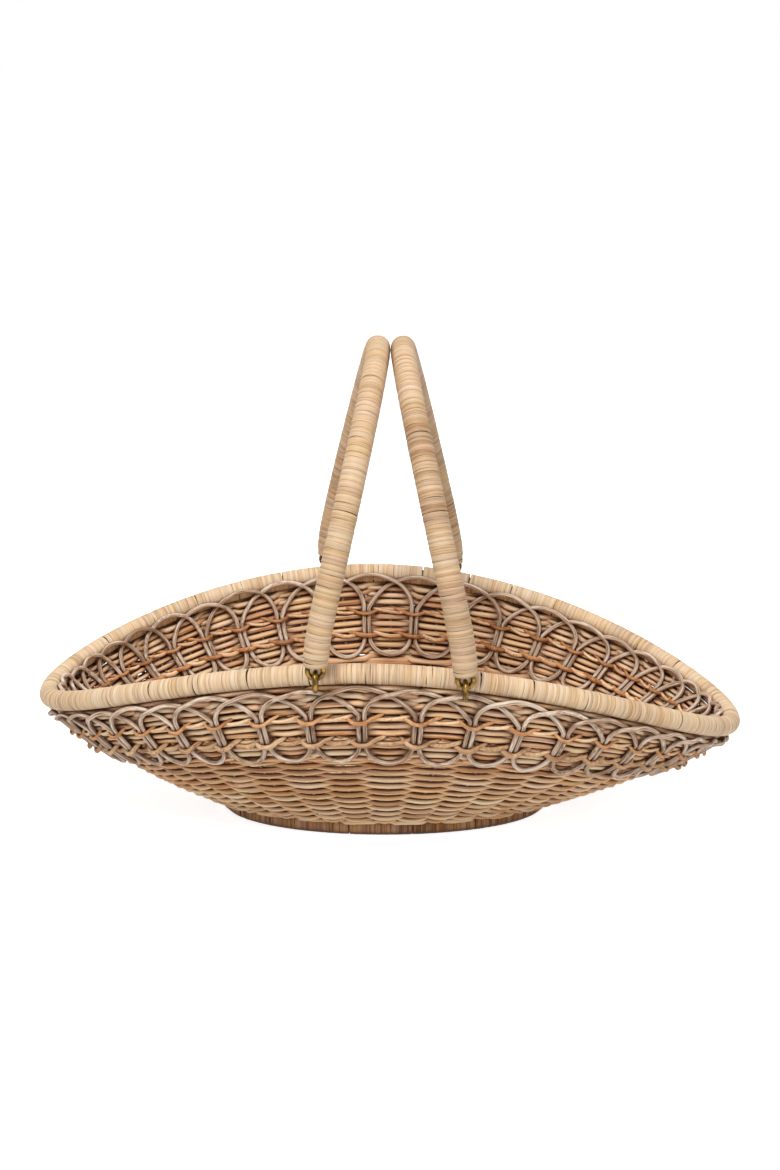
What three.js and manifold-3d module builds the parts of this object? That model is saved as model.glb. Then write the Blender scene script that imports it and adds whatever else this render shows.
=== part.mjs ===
// Gathering basket: a long oval wicker tray on a wrapped foot. The rim dips towards both ends and is
// bound with peel, looped rods decorate the upper wall on both faces, and two wrapped hoop handles
// swing outwards on brass eyes. Millimetres, +Z up, +X to the right, -Y towards the viewer. The
// origin is on the floor under the middle of the rim.

import * as THREE from 'three';
import { mergeVertices } from 'three/addons/utils/BufferGeometryUtils.js';
import Module from 'manifold-3d';

const wasm = await Module();
wasm.setup();

// General
const clearance = 0.3;
const peelThickness = 1.6;

// Rim
const rimLength = 610;
const rimWidth = 320;
const rimThickness = 17;
const rimEndHeight = 95.5;
const rimMiddleHeight = 170.5;
const rimLean = 12.3; // the left end stands this much higher than the mean, the right end lower
const rimPlanPower = 2.08;
const rimArchPower = 1.9;
const rimSteps = 60;
const rimSlotAngle = THREE.MathUtils.degToRad(20);

// Foot and base
const footLength = 286;
const footWidth = 150;
const footHeight = 14;
const footThickness = 12;
const footChamfer = 3;
const footShift = -5; // the foot sits a little left of the middle of the rim
const baseThickness = 6;
const baseStickThickness = 5;
const longStickCount = 3;
const longStickSpacing = 24;
const crossStickCount = 9;
const crossStickSpacing = 26;

// Wall
const columnCount = 44; // double uprights round the wall
const wallThickness = 9;
const wallEndOverhang = 4; // the wall's middle stands this far outside the foot at the two ends
const wallSideOverhang = 2;
const wallBowEndShare = 0.45;
const wallBowMiddleShare = 0.87;
const seamShare = 0.52; // of the wall's height, where the lower and the upper weave meet
const upperWallShares = [seamShare, 0.66, 0.84, 1];
const lowerRowCount = 22;
const weaveRelief = 1.6; // the rods of the lower wall stand out and in this far from its mean faces

// Looped rods and the twine that ties them
const loopRod = 4;
const loopLegGap = 0.5;
const loopArchTopShare = 0.975;
const loopLegTopShare = 0.84;
const loopLegFootShare = 0.66;
const loopScallopShare = 0.545;
const loopArchSteps = 5;
const loopScallopSteps = 3;
const twineThickness = 3;
const upperTwineShare = 0.82;
const lowerTwineShare = 0.68;

// Handles
const legThickness = 20.4;
const legStandOff = 12.6; // from the outside of the rim to the middle of a leg
const legReach = 59; // from the middle of the basket to each hinge axis
const hoops = {
  left: { side: -1, height: 228, rise: 8.5 },
  right: { side: 1, height: 235, rise: 6 },
};
const leanStart = 20; // the legs stand upright this far above the hinge, then lean inwards
const leanBend = 20;
const legEndGap = 5.8;
const bindingHeight = 6.5;
const bindingThickness = 19.2;
const handleSteps = 20;
const handleSides = 8;

// Brass eyes
const handleEyeWidth = 17;
const rimEyeWidth = 19;
const eyeWire = 4.4;
const eyeSteps = 12;
const eyeSides = 6;
const handleEyeShank = 16;

// Small step for slopes, in radians, in columns or as a share
const slopeStep = 0.01;

// Worked out from the sizes above
const pitchAngle = (2 * Math.PI) / columnCount;
const peelRadius = rimThickness / 2;
const wallFootLength = footLength + 2 * wallEndOverhang;
const wallFootWidth = footWidth + 2 * wallSideOverhang;
const legSpan = 2 * (rimReachAtHinge() + peelRadius + legStandOff); // between the legs of a hoop
const facetSag = (rimLength / 2) * (1 - Math.cos(pitchAngle / 2));
const outerSeat = clearance;
const innerSeat = clearance + facetSag; // the wall's facets stand proud of its curve on the inside
const handleEyeRadius = (handleEyeWidth - eyeWire) / 2;
const rimEyeRadius = (rimEyeWidth - eyeWire) / 2;
const handleEyeLift = handleEyeRadius - eyeWire - clearance;
const shankHoleRadius = (eyeWire / 2 + clearance) / Math.cos(Math.PI / eyeSides);

function finish(color, roughness, metalness = 0) {
  return new THREE.MeshStandardMaterial({ color, roughness, metalness });
}

const finishes = {
  rimPeel: finish(0xd2bc97, 0.6),
  handlePeel: finish(0xcdb088, 0.6),
  footPeel: finish(0x9a7650, 0.7),
  lowerWeave: finish(0x9c7650, 0.75),
  upperWeave: finish(0xab8660, 0.75),
  loopRod: finish(0xa79789, 0.7),
  upperTwine: finish(0xb0703f, 0.7),
  lowerTwine: finish(0xb98c52, 0.7),
  pole: finish(0xb59468, 0.7),
  baseStick: finish(0x8f6e4c, 0.75),
  brass: finish(0x80703c, 0.4, 0.9),
};

// Makes a closed body through rows of points. The rows join up in a ring, or end in flat caps.
function skin(rows, ring) {
  const width = rows[0].length;
  const corner = (row, k) => (row % rows.length) * width + (k % width);
  const last = rows.length - 1;
  const spans = ring ? rows.length : last;
  const index = [];
  for (let row = 0; row < spans; row += 1) {
    for (let k = 0; k < width; k += 1) {
      index.push(corner(row, k), corner(row, k + 1), corner(row + 1, k + 1));
      index.push(corner(row, k), corner(row + 1, k + 1), corner(row + 1, k));
    }
  }
  if (!ring) {
    for (let k = 1; k < width - 1; k += 1) {
      index.push(corner(0, 0), corner(0, k + 1), corner(0, k));
      index.push(corner(last, 0), corner(last, k), corner(last, k + 1));
    }
  }
  const points = rows.flat();
  const geometry = new THREE.BufferGeometry().setFromPoints(points);
  geometry.setIndex(signedVolume(points, index) < 0 ? index.reverse() : index);
  geometry.computeVertexNormals();
  return geometry;
}

function signedVolume(points, index) {
  let volume = 0;
  for (let k = 0; k < index.length; k += 3) {
    const [a, b, c] = [points[index[k]], points[index[k + 1]], points[index[k + 2]]];
    volume += a.dot(b.clone().cross(c));
  }
  return volume;
}

// Points of a section in a frame of an origin and two directions across it.
function sectionAt(frame, section) {
  return section.map(([across, up]) => frame.origin.clone()
    .addScaledVector(frame.side, across)
    .addScaledVector(frame.up, up));
}

function polygon(radius, sides, start = 0) {
  return Array.from({ length: sides }, (_, k) => {
    const angle = start + (2 * Math.PI * k) / sides;
    return [radius * Math.cos(angle), radius * Math.sin(angle)];
  });
}

// A square with its flats on the wall, as [across, up] corners.
function squareSection(thickness) {
  return polygon(thickness / Math.SQRT2, 4, Math.PI / 4);
}

function solidOf(geometry) {
  const bare = mergeVertices(geometry.clone().deleteAttribute('normal').deleteAttribute('uv'));
  return new wasm.Manifold(new wasm.Mesh({
    numProp: 3,
    vertProperties: new Float32Array(bare.attributes.position.array),
    triVerts: new Uint32Array(bare.index.array),
  }));
}

function geometryOf(solid) {
  const mesh = solid.getMesh();
  const geometry = new THREE.BufferGeometry();
  geometry.setAttribute('position', new THREE.BufferAttribute(new Float32Array(mesh.vertProperties), 3));
  geometry.setIndex(new THREE.BufferAttribute(new Uint32Array(mesh.triVerts), 1));
  geometry.computeVertexNormals();
  return geometry;
}

function cut(geometry, tools) {
  return geometryOf(tools.reduce((rest, tool) => rest.subtract(solidOf(tool)), solidOf(geometry)));
}

function addMesh(parent, name, geometry, material) {
  const mesh = new THREE.Mesh(geometry, material);
  mesh.name = name;
  parent.add(mesh);
  return mesh;
}

// Angle round the oval of a place counted in columns. The first column is half a pitch right of
// the middle of the front.
function ovalAngle(column) {
  return (column + 0.5) * pitchAngle - Math.PI / 2;
}

function ovalPoint(length, width, angle, power = 2) {
  const x = Math.cos(angle);
  const y = Math.sin(angle);
  return new THREE.Vector3(
    (length / 2) * Math.sign(x) * Math.abs(x) ** (2 / power),
    (width / 2) * Math.sign(y) * Math.abs(y) ** (2 / power),
    0,
  );
}

function rimCentreHeight(x) {
  const share = x / (rimLength / 2 - peelRadius);
  const arch = (rimMiddleHeight - rimEndHeight) * (1 - Math.abs(share) ** rimArchPower);
  return rimEndHeight + arch - rimLean * share;
}

function rimCentre(angle) {
  const point = ovalPoint(rimLength - rimThickness, rimWidth - rimThickness, angle, rimPlanPower);
  point.z = rimCentreHeight(point.x);
  return point;
}

function wallFoot(angle) {
  const point = ovalPoint(wallFootLength, wallFootWidth, angle);
  point.x += footShift;
  point.z = footHeight + clearance;
  return point;
}

function wallBowShare(angle) {
  return wallBowEndShare + (wallBowMiddleShare - wallBowEndShare) * Math.sin(angle) ** 2;
}

// The direction in which the wall climbs where it meets the rim.
function wallClimb(angle) {
  const run = rimCentre(angle).sub(wallFoot(angle));
  const spread = 1 - wallBowShare(angle);
  return new THREE.Vector3(run.x * spread, run.y * spread, run.z).normalize();
}

// Middle surface of the wall, at a column and a share of the way up from the foot to the rim.
function wallMiddle(column, share) {
  const angle = ovalAngle(column);
  const foot = wallFoot(angle);
  const top = rimCentre(angle).addScaledVector(wallClimb(angle), -(peelRadius + clearance));
  const reach = share + wallBowShare(angle) * share * (1 - share);
  const point = foot.clone().lerp(top, reach);
  point.z = THREE.MathUtils.lerp(foot.z, top.z, share);
  return point;
}

function wallOutward(column, share) {
  const along = wallMiddle(column + slopeStep, share).sub(wallMiddle(column - slopeStep, share));
  const climb = wallMiddle(column, share + slopeStep).sub(wallMiddle(column, share - slopeStep));
  return along.cross(climb).normalize();
}

function wallPoint(column, share, offset) {
  return wallMiddle(column, share).addScaledVector(wallOutward(column, share), offset);
}

// A band of woven wall between the first and the last of the shares given.
function wallBand(shares) {
  const rows = [];
  for (let column = 0; column < columnCount; column += 1) {
    const outer = shares.map((share) => wallPoint(column, share, wallThickness / 2));
    const inner = shares.map((share) => wallPoint(column, share, -wallThickness / 2));
    rows.push([...outer, ...inner.reverse()]);
  }
  return skin(rows, true);
}

// A point at a stake on an edge of the lower wall, on the straight line between its neighbours at
// the double uprights, where the upper wall has its corners.
function edgePoint(column, share, face) {
  const offset = (face * wallThickness) / 2;
  return wallPoint(column, share, offset).lerp(wallPoint(column + 1, share, offset), 1 / 2);
}

// Shares up the wall, at a column, of the middles of the lower wall's rows, which are equally high.
function rowShares(column) {
  const steps = 2 * lowerRowCount;
  const shareAt = (step) => (seamShare * step) / steps;
  const lengths = [0];
  for (let step = 1; step <= steps; step += 1) {
    const run = wallMiddle(column, shareAt(step - 1)).distanceTo(wallMiddle(column, shareAt(step)));
    lengths.push(lengths[step - 1] + run);
  }
  return Array.from({ length: lowerRowCount }, (_, row) => {
    const goal = (lengths[steps] * (2 * row + 1)) / steps;
    const step = lengths.findIndex((length) => length > goal);
    return shareAt(step - (lengths[step] - goal) / (lengths[step] - lengths[step - 1]));
  });
}

// The lower wall, as a plain weave round stakes that stand halfway between the double uprights. At
// each stake the rows lie outside and inside by turns. Rows beside the floor are flat inside.
function wovenBand() {
  const climb = wallMiddle(0, 0).distanceTo(wallMiddle(0, 1));
  const top = seamShare - (2 * clearance) / climb;
  const meanFace = wallThickness / 2 - weaveRelief;
  const sections = Array.from({ length: columnCount }, (_, column) => {
    const stake = column + 1 / 2;
    const swing = (row) => ((column + row) % 2 ? -weaveRelief : weaveRelief);
    const outer = rowShares(stake).map((share, row) => wallPoint(stake, share, meanFace + swing(row)));
    const inner = rowShares(stake).map((share, row) => {
      const point = wallPoint(stake, share, swing(row) - meanFace);
      const byFloor = wallMiddle(stake, share).z < footHeight + clearance + baseThickness + wallThickness;
      return byFloor ? wallPoint(stake, share, -wallThickness / 2) : point;
    });
    const outside = [edgePoint(column, 0, 1), ...outer, edgePoint(column, top, 1)];
    return [...outside, edgePoint(column, top, -1), ...inner.reverse(), edgePoint(column, 0, -1)];
  });
  return skin(sections, true);
}

function addWall(parent) {
  addMesh(parent, 'lower_wall', wovenBand(), finishes.lowerWeave);
  addMesh(parent, 'upper_wall', wallBand(upperWallShares), finishes.upperWeave);
}

// Frames along a path over one face of the wall. Each place is a column, a share up the wall and a
// height of the rod's middle over the face.
function wallFrames(places, face) {
  const offset = (height) => face * (wallThickness / 2 + height);
  const points = places.map(([column, share, height]) => wallPoint(column, share, offset(height)));
  return places.map(([column, share], k) => {
    const before = points[(k + points.length - 1) % points.length];
    const after = points[(k + 1) % points.length];
    const along = after.clone().sub(before).normalize();
    const outward = wallOutward(column, share).multiplyScalar(face);
    const side = along.clone().cross(outward).normalize();
    return { origin: points[k], side, up: side.clone().cross(along) };
  });
}

// Half the distance between the two uprights of a column, counted in columns.
function legOffset(column, share) {
  const pitch = wallMiddle(column - 0.5, share).distanceTo(wallMiddle(column + 0.5, share));
  return (loopRod + loopLegGap) / 2 / pitch;
}

// Columns and shares along half an ellipse from one upright to another, without the two ends.
function bow(from, to, endShare, peakShare, steps) {
  return Array.from({ length: steps - 1 }, (_, k) => {
    const turn = (Math.PI * (k + 1)) / steps;
    const column = THREE.MathUtils.lerp(from, to, (1 - Math.cos(turn)) / 2);
    return [column, THREE.MathUtils.lerp(endShare, peakShare, Math.sin(turn))];
  });
}

// One turn of the looping rod: up as the right upright of a column, over an arch two columns wide,
// down as a left upright, and back one column through a scallop. The rising half of an arch passes
// over the falling half of its neighbour.
function loopTurn(column, seat) {
  const low = seat + loopRod / 2;
  const high = low + loopRod + clearance;
  const right = column + legOffset(column, loopLegTopShare);
  const left = column + 2 - legOffset(column + 2, loopLegTopShare);
  const footLeft = column + 2 - legOffset(column + 2, loopLegFootShare);
  const footRight = column + 1 + legOffset(column + 1, loopLegFootShare);
  const arch = bow(right, left, loopLegTopShare, loopArchTopShare, loopArchSteps);
  const scallop = bow(footLeft, footRight, loopLegFootShare, loopScallopShare, loopScallopSteps);
  return [
    [right, loopLegTopShare, low],
    ...arch.map(([at, share]) => [at, share, at < column + 1 ? high : low]),
    [left, loopLegTopShare, low],
    [footLeft, loopLegFootShare, low],
    ...scallop.map(([at, share]) => [at, share, low]),
    [footRight, loopLegFootShare, low],
  ];
}

function addLoops(parent, name, face, seat) {
  const places = Array.from({ length: columnCount }, (_, column) => loopTurn(column, seat)).flat();
  const rows = wallFrames(places, face).map((frame) => sectionAt(frame, squareSection(loopRod)));
  addMesh(parent, name, skin(rows, true), finishes.loopRod);
}

// A ring of twine over all the double uprights.
function addTwine(parent, name, face, seat, share, material) {
  const height = seat + loopRod + clearance + facetSag + twineThickness / 2;
  const places = Array.from({ length: columnCount }, (_, column) => [column, share, height]);
  const rows = wallFrames(places, face).map((frame) => sectionAt(frame, squareSection(twineThickness)));
  addMesh(parent, name, skin(rows, true), material);
}

function addDecoration(parent) {
  for (const [name, face, seat] of [['outer', 1, outerSeat], ['inner', -1, innerSeat]]) {
    addLoops(parent, `${name}_loops`, face, seat);
    addTwine(parent, `${name}_upper_twine`, face, seat, upperTwineShare, finishes.upperTwine);
    addTwine(parent, `${name}_lower_twine`, face, seat, lowerTwineShare, finishes.lowerTwine);
  }
}

// Frames round the rim, each turned so that its up direction continues the climb of the wall.
function rimFrames() {
  return Array.from({ length: rimSteps }, (_, k) => {
    const angle = (2 * Math.PI * k) / rimSteps;
    const step = Math.PI / rimSteps;
    const along = rimCentre(angle + step).sub(rimCentre(angle - step)).normalize();
    const side = along.clone().cross(wallClimb(angle)).normalize();
    return { origin: rimCentre(angle), side, up: side.clone().cross(along) };
  });
}

// An open ring section round a rod, with its slot facing down to the wall.
function slottedSection(outer, inner, outerSteps, innerSteps) {
  const arc = (radius, steps) => Array.from({ length: steps + 1 }, (_, k) => {
    const angle = rimSlotAngle + ((2 * Math.PI - 2 * rimSlotAngle) * k) / steps - Math.PI / 2;
    return [radius * Math.cos(angle), radius * Math.sin(angle)];
  });
  return [...arc(outer, outerSteps), ...arc(inner, innerSteps).reverse()];
}

function cylinderAlongY(radius, length, sides) {
  return new THREE.CylinderGeometry(radius, radius, length, sides);
}

function hingeHeight({ side, rise }) {
  return rimCentreHeight(side * legReach) + rise;
}

// Distance in Y from the middle of the basket to the rim's centre line at the hinges.
function rimReachAtHinge() {
  const share = (legReach / (rimLength / 2 - peelRadius)) ** rimPlanPower;
  return (rimWidth / 2 - peelRadius) * (1 - share) ** (1 / rimPlanPower);
}

// The holes that the shanks of the rim eyes need, from outside the rim to its centre line.
function shankHoles() {
  const inner = rimReachAtHinge() - clearance;
  const outer = legSpan / 2;
  return Object.values(hoops).flatMap((hoop) => [-1, 1].map((face) => {
    const hole = cylinderAlongY(shankHoleRadius, outer - inner, eyeSides);
    const height = hingeHeight(hoop) - rimEyeRadius;
    return hole.translate(hoop.side * legReach, (face * (inner + outer)) / 2, height);
  }));
}

function addRim(parent) {
  const innerSteps = 5;
  const outerSteps = 7;
  const coreSides = 6;
  const innerRadius = peelRadius - peelThickness;
  const flat = Math.cos((Math.PI - rimSlotAngle) / innerSteps);
  const core = polygon(innerRadius * flat - clearance, coreSides);
  const peel = slottedSection(peelRadius, innerRadius, outerSteps, innerSteps);
  const frames = rimFrames();
  const sweep = (section) => skin(frames.map((frame) => sectionAt(frame, section)), true);
  addMesh(parent, 'rim_core', cut(sweep(core), shankHoles()), finishes.pole);
  addMesh(parent, 'rim_wrap', cut(sweep(peel), shankHoles()), finishes.rimPeel);
}

// Corners of the foot's section, drawn in by an inset, from its inner top down and round.
function footCorners(inset) {
  const half = footThickness / 2 - inset;
  const cornerShift = inset * (Math.SQRT2 - 1);
  const side = footChamfer + cornerShift;
  const floor = footThickness / 2 - footChamfer - cornerShift;
  const right = [[floor, inset], [half, side], [half, footHeight]];
  const left = right.map(([across, up]) => [-across, up]).reverse();
  return [...left, ...right];
}

function addFoot(parent) {
  const centreLength = footLength - footThickness;
  const centreWidth = footWidth - footThickness;
  const frames = Array.from({ length: columnCount }, (_, column) => {
    const angle = ovalAngle(column);
    const origin = ovalPoint(centreLength, centreWidth, angle);
    const side = ovalPoint(centreWidth, centreLength, angle).normalize();
    origin.x += footShift;
    return { origin, side, up: new THREE.Vector3(0, 0, 1) };
  });
  const sweep = (section) => skin(frames.map((frame) => sectionAt(frame, section)), true);
  const sleeve = [...footCorners(0), ...footCorners(peelThickness).reverse()];
  addMesh(parent, 'foot_core', sweep(footCorners(peelThickness + clearance)), finishes.pole);
  addMesh(parent, 'foot_wrap', sweep(sleeve), finishes.footPeel);
}

// The woven floor lies on the foot and fills the bottom of the wall.
function addBase(parent) {
  const bottom = footHeight + clearance;
  const outline = Array.from({ length: columnCount }, (_, column) => {
    const outward = wallOutward(column + 1 / 2, 0).setZ(0).normalize();
    return edgePoint(column, 0, -1).addScaledVector(outward, -clearance);
  });
  const levels = [bottom, bottom + baseThickness];
  const rows = levels.map((level) => outline.map((point) => point.clone().setZ(level)));
  addMesh(parent, 'base_weave', skin(rows, false), finishes.lowerWeave);
}

// Half the length of a stick that lies across an oval, at a distance from the oval's middle.
function chord(halfAcross, halfAlong, distance) {
  return halfAlong * Math.sqrt(1 - (distance / halfAcross) ** 2);
}

// Sticks under the woven floor, held inside the foot: short ones below, long ones across them.
function addBaseSticks(parent) {
  const footSag = (footLength / 2) * (1 - Math.cos(pitchAngle / 2));
  const halfLength = footLength / 2 - footThickness - footSag - clearance;
  const halfWidth = footWidth / 2 - footThickness - footSag - clearance;
  const radius = baseStickThickness / 2;
  const longHeight = footHeight - radius;
  const crossHeight = longHeight - baseStickThickness - clearance;
  for (let k = 0; k < longStickCount; k += 1) {
    const y = (k - (longStickCount - 1) / 2) * longStickSpacing;
    const half = chord(halfWidth, halfLength, Math.abs(y) + radius);
    const geometry = cylinderAlongY(radius, 2 * half, eyeSides);
    const stick = addMesh(parent, `base_long_stick_${k + 1}`, geometry, finishes.baseStick);
    stick.rotation.z = Math.PI / 2;
    stick.position.set(footShift, y, longHeight);
  }
  for (let k = 0; k < crossStickCount; k += 1) {
    const x = (k - (crossStickCount - 1) / 2) * crossStickSpacing;
    const half = chord(halfLength, halfWidth, Math.abs(x) + radius);
    const geometry = cylinderAlongY(radius, 2 * half, eyeSides);
    const stick = addMesh(parent, `base_cross_stick_${k + 1}`, geometry, finishes.baseStick);
    stick.position.set(footShift + x, 0, crossHeight);
  }
}

// A ring in the XZ plane round the origin with a shank that leaves it along +Z.
function screwEye(ringRadius, shankLength) {
  const rows = Array.from({ length: eyeSteps }, (_, k) => {
    const angle = (2 * Math.PI * k) / eyeSteps;
    const side = new THREE.Vector3(Math.cos(angle), 0, Math.sin(angle));
    const frame = { origin: side.clone().multiplyScalar(ringRadius), side, up: new THREE.Vector3(0, 1, 0) };
    return sectionAt(frame, polygon(eyeWire / 2, eyeSides));
  });
  const shank = cylinderAlongY(eyeWire / 2, shankLength, eyeSides)
    .rotateX(Math.PI / 2)
    .translate(0, 0, ringRadius + shankLength / 2);
  return geometryOf(solidOf(skin(rows, true)).add(solidOf(shank)));
}

// Each eye's ring hangs below its hinge axis, and its shank runs level into the rim.
function addRimEyes(parent) {
  const shank = legSpan / 2 - rimEyeRadius - rimReachAtHinge();
  for (const [name, hoop] of Object.entries(hoops)) {
    for (const [end, face] of [['front', -1], ['back', 1]]) {
      const eye = addMesh(parent, `rim_eye_${end}_${name}`, screwEye(rimEyeRadius, shank), finishes.brass);
      eye.rotation.set((face * Math.PI) / 2, 0, Math.PI / 2);
      eye.position.set(hoop.side * legReach, (face * legSpan) / 2, hingeHeight(hoop) - rimEyeRadius);
    }
  }
}

// How far along the slope a point is, from the hinge up, with a soft start at the bend.
function leanRun(height) {
  const ramp = (value) => (value + Math.hypot(value, leanBend)) / 2;
  return ramp(height - leanStart) - ramp(-leanStart);
}

// Centre line of a hoop, from its hinge axis. The angle runs from the front leg over to the back.
// The lean brings the top of the hoop to just short of the other hoop.
function hoopPoint(hoop, angle) {
  const up = hoop.height * Math.sin(angle);
  const inward = legReach - (legThickness + clearance) / 2;
  const lean = (inward * leanRun(up)) / leanRun(hoop.height);
  return new THREE.Vector3(-hoop.side * lean, (-legSpan / 2) * Math.cos(angle), up);
}

// Angle at which the front leg of a hoop has climbed to a height above the hinge.
function hoopAngle(hoop, height) {
  return Math.asin(height / hoop.height);
}

function hoopFrames(hoop, start, end, steps) {
  return Array.from({ length: steps + 1 }, (_, k) => {
    const angle = THREE.MathUtils.lerp(start, end, k / steps);
    const before = hoopPoint(hoop, angle - slopeStep);
    const along = hoopPoint(hoop, angle + slopeStep).sub(before).normalize();
    const up = along.clone().cross(new THREE.Vector3(1, 0, 0)).normalize();
    return { origin: hoopPoint(hoop, angle), side: up.clone().cross(along), up };
  });
}

// A tube with open ends, through frames along its middle.
function sleeve(frames, outerRadius, innerRadius) {
  const outer = frames.map((frame) => sectionAt(frame, polygon(outerRadius, handleSides)));
  const inner = frames.map((frame) => sectionAt(frame, polygon(innerRadius, handleSides)));
  return skin([...outer, ...inner.reverse()], true);
}

// The slot and the hole in one leg's end that take a handle eye.
function eyeSocket(face) {
  const slotTop = handleEyeLift + handleEyeWidth / 2 + clearance;
  const slotWidth = eyeWire + 2 * clearance;
  const holeLength = handleEyeShank + clearance;
  const slot = new THREE.BoxGeometry(legThickness, slotWidth, 2 * slotTop);
  const hole = cylinderAlongY(shankHoleRadius, holeLength, eyeSides)
    .rotateX(Math.PI / 2)
    .translate(0, 0, handleEyeLift + handleEyeRadius + holeLength / 2);
  return [slot, hole].map((tool) => tool.translate(0, (face * legSpan) / 2, 0));
}

function addHandle(parent, name, hoop) {
  const group = new THREE.Group();
  group.position.set(hoop.side * legReach, 0, hingeHeight(hoop));
  parent.add(group);
  const innerRadius = legThickness / 2 - peelThickness;
  const coreRadius = innerRadius * Math.cos(Math.PI / handleSides) - clearance;
  const legEnd = hoopAngle(hoop, legEndGap);
  const bindingEnd = hoopAngle(hoop, legEndGap + bindingHeight);
  const wrapEnd = hoopAngle(hoop, legEndGap + bindingHeight + clearance);
  const whole = hoopFrames(hoop, legEnd, Math.PI - legEnd, handleSteps);
  const wrapped = hoopFrames(hoop, wrapEnd, Math.PI - wrapEnd, handleSteps);
  const bound = hoopFrames(hoop, legEnd, bindingEnd, 1);
  const pole = skin(whole.map((frame) => sectionAt(frame, polygon(coreRadius, handleSides))), false);
  const peel = sleeve(wrapped, legThickness / 2, innerRadius);
  const binding = sleeve(bound, bindingThickness / 2, innerRadius);
  addMesh(group, `${name}_handle_core`, cut(pole, [...eyeSocket(-1), ...eyeSocket(1)]), finishes.pole);
  addMesh(group, `${name}_handle_wrap`, peel, finishes.handlePeel);
  for (const [end, face] of [['front', -1], ['back', 1]]) {
    const collar = face < 0 ? binding : mirrored(binding);
    const ring = screwEye(handleEyeRadius, handleEyeShank);
    addMesh(group, `${name}_${end}_binding`, collar, finishes.handlePeel);
    const eye = addMesh(group, `${name}_${end}_handle_eye`, ring, finishes.brass);
    eye.position.set(0, (face * legSpan) / 2, handleEyeLift);
  }
}

// A copy turned over to the other side of the XZ plane, with its faces still pointing out.
function mirrored(geometry) {
  const copy = geometry.clone().scale(1, -1, 1);
  copy.setIndex([...copy.index.array].reverse());
  copy.computeVertexNormals();
  return copy;
}

const basket = new THREE.Group();
addBase(basket);
addBaseSticks(basket);
addFoot(basket);
addWall(basket);
addDecoration(basket);
addRim(basket);
addRimEyes(basket);
for (const [name, hoop] of Object.entries(hoops)) {
  addHandle(basket, name, hoop);
}

export default basket;
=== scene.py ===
import math

import bmesh
import bpy
import numpy as np
from bpy.props import (
    BoolProperty,
    FloatProperty,
    FloatVectorProperty,
    IntProperty,
    PointerProperty,
)
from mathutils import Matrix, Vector


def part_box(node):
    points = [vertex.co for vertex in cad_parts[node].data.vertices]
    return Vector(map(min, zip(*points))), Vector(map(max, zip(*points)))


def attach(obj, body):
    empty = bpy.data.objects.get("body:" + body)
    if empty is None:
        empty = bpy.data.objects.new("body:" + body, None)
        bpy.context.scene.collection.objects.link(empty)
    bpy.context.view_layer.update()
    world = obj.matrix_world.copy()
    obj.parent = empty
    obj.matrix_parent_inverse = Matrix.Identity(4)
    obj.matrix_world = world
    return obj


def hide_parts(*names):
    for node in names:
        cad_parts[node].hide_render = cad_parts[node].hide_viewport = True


bl_info = {
    "name": "Gathering Basket",
    "version": (1, 0, 0),
    "blender": (4, 5, 0),
    "location": "View3D > Sidebar > Basket",
    "description": "Weaves, binds and lights a long oval gathering basket with two hoop handles",
    "category": "Add Mesh",
}

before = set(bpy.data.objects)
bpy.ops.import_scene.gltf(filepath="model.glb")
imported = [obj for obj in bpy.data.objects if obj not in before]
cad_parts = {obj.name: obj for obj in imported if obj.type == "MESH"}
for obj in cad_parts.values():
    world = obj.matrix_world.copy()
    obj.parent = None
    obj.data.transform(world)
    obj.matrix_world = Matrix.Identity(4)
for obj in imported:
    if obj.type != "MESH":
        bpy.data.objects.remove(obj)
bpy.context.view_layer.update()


def number(name, default, description, **kind):
    return FloatProperty(name=name, description=description, default=default, **kind)


def size(name, default, description):
    """A length in metres that the panel shows."""
    return number(name, default, description, min=0, precision=4, unit="LENGTH")


def shift(name, default, description):
    """A length in metres that may be less than nothing."""
    return number(name, default, description, unit="LENGTH")


def share(name, default, description):
    """A share of another size, from 0 to 1."""
    return number(name, default, description, min=0, max=1, subtype="FACTOR")


def turn(name, degrees, description):
    """An angle, given here in degrees."""
    return number(name, math.radians(degrees), description, subtype="ANGLE")


def count(name, default, description):
    return IntProperty(name=name, description=description, default=default, min=1)


def colour(name, code, description):
    """A colour given as six hexadecimal digits of its display value."""
    display = [int(code[k:k + 2], 16) / 255 for k in (0, 2, 4)]
    linear = [v / 12.92 if v <= 0.04045 else ((v + 0.055) / 1.055) ** 2.4 for v in display]
    return FloatVectorProperty(
        name=name, description=description, default=linear, size=3, min=0, max=1, subtype="COLOR"
    )


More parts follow.
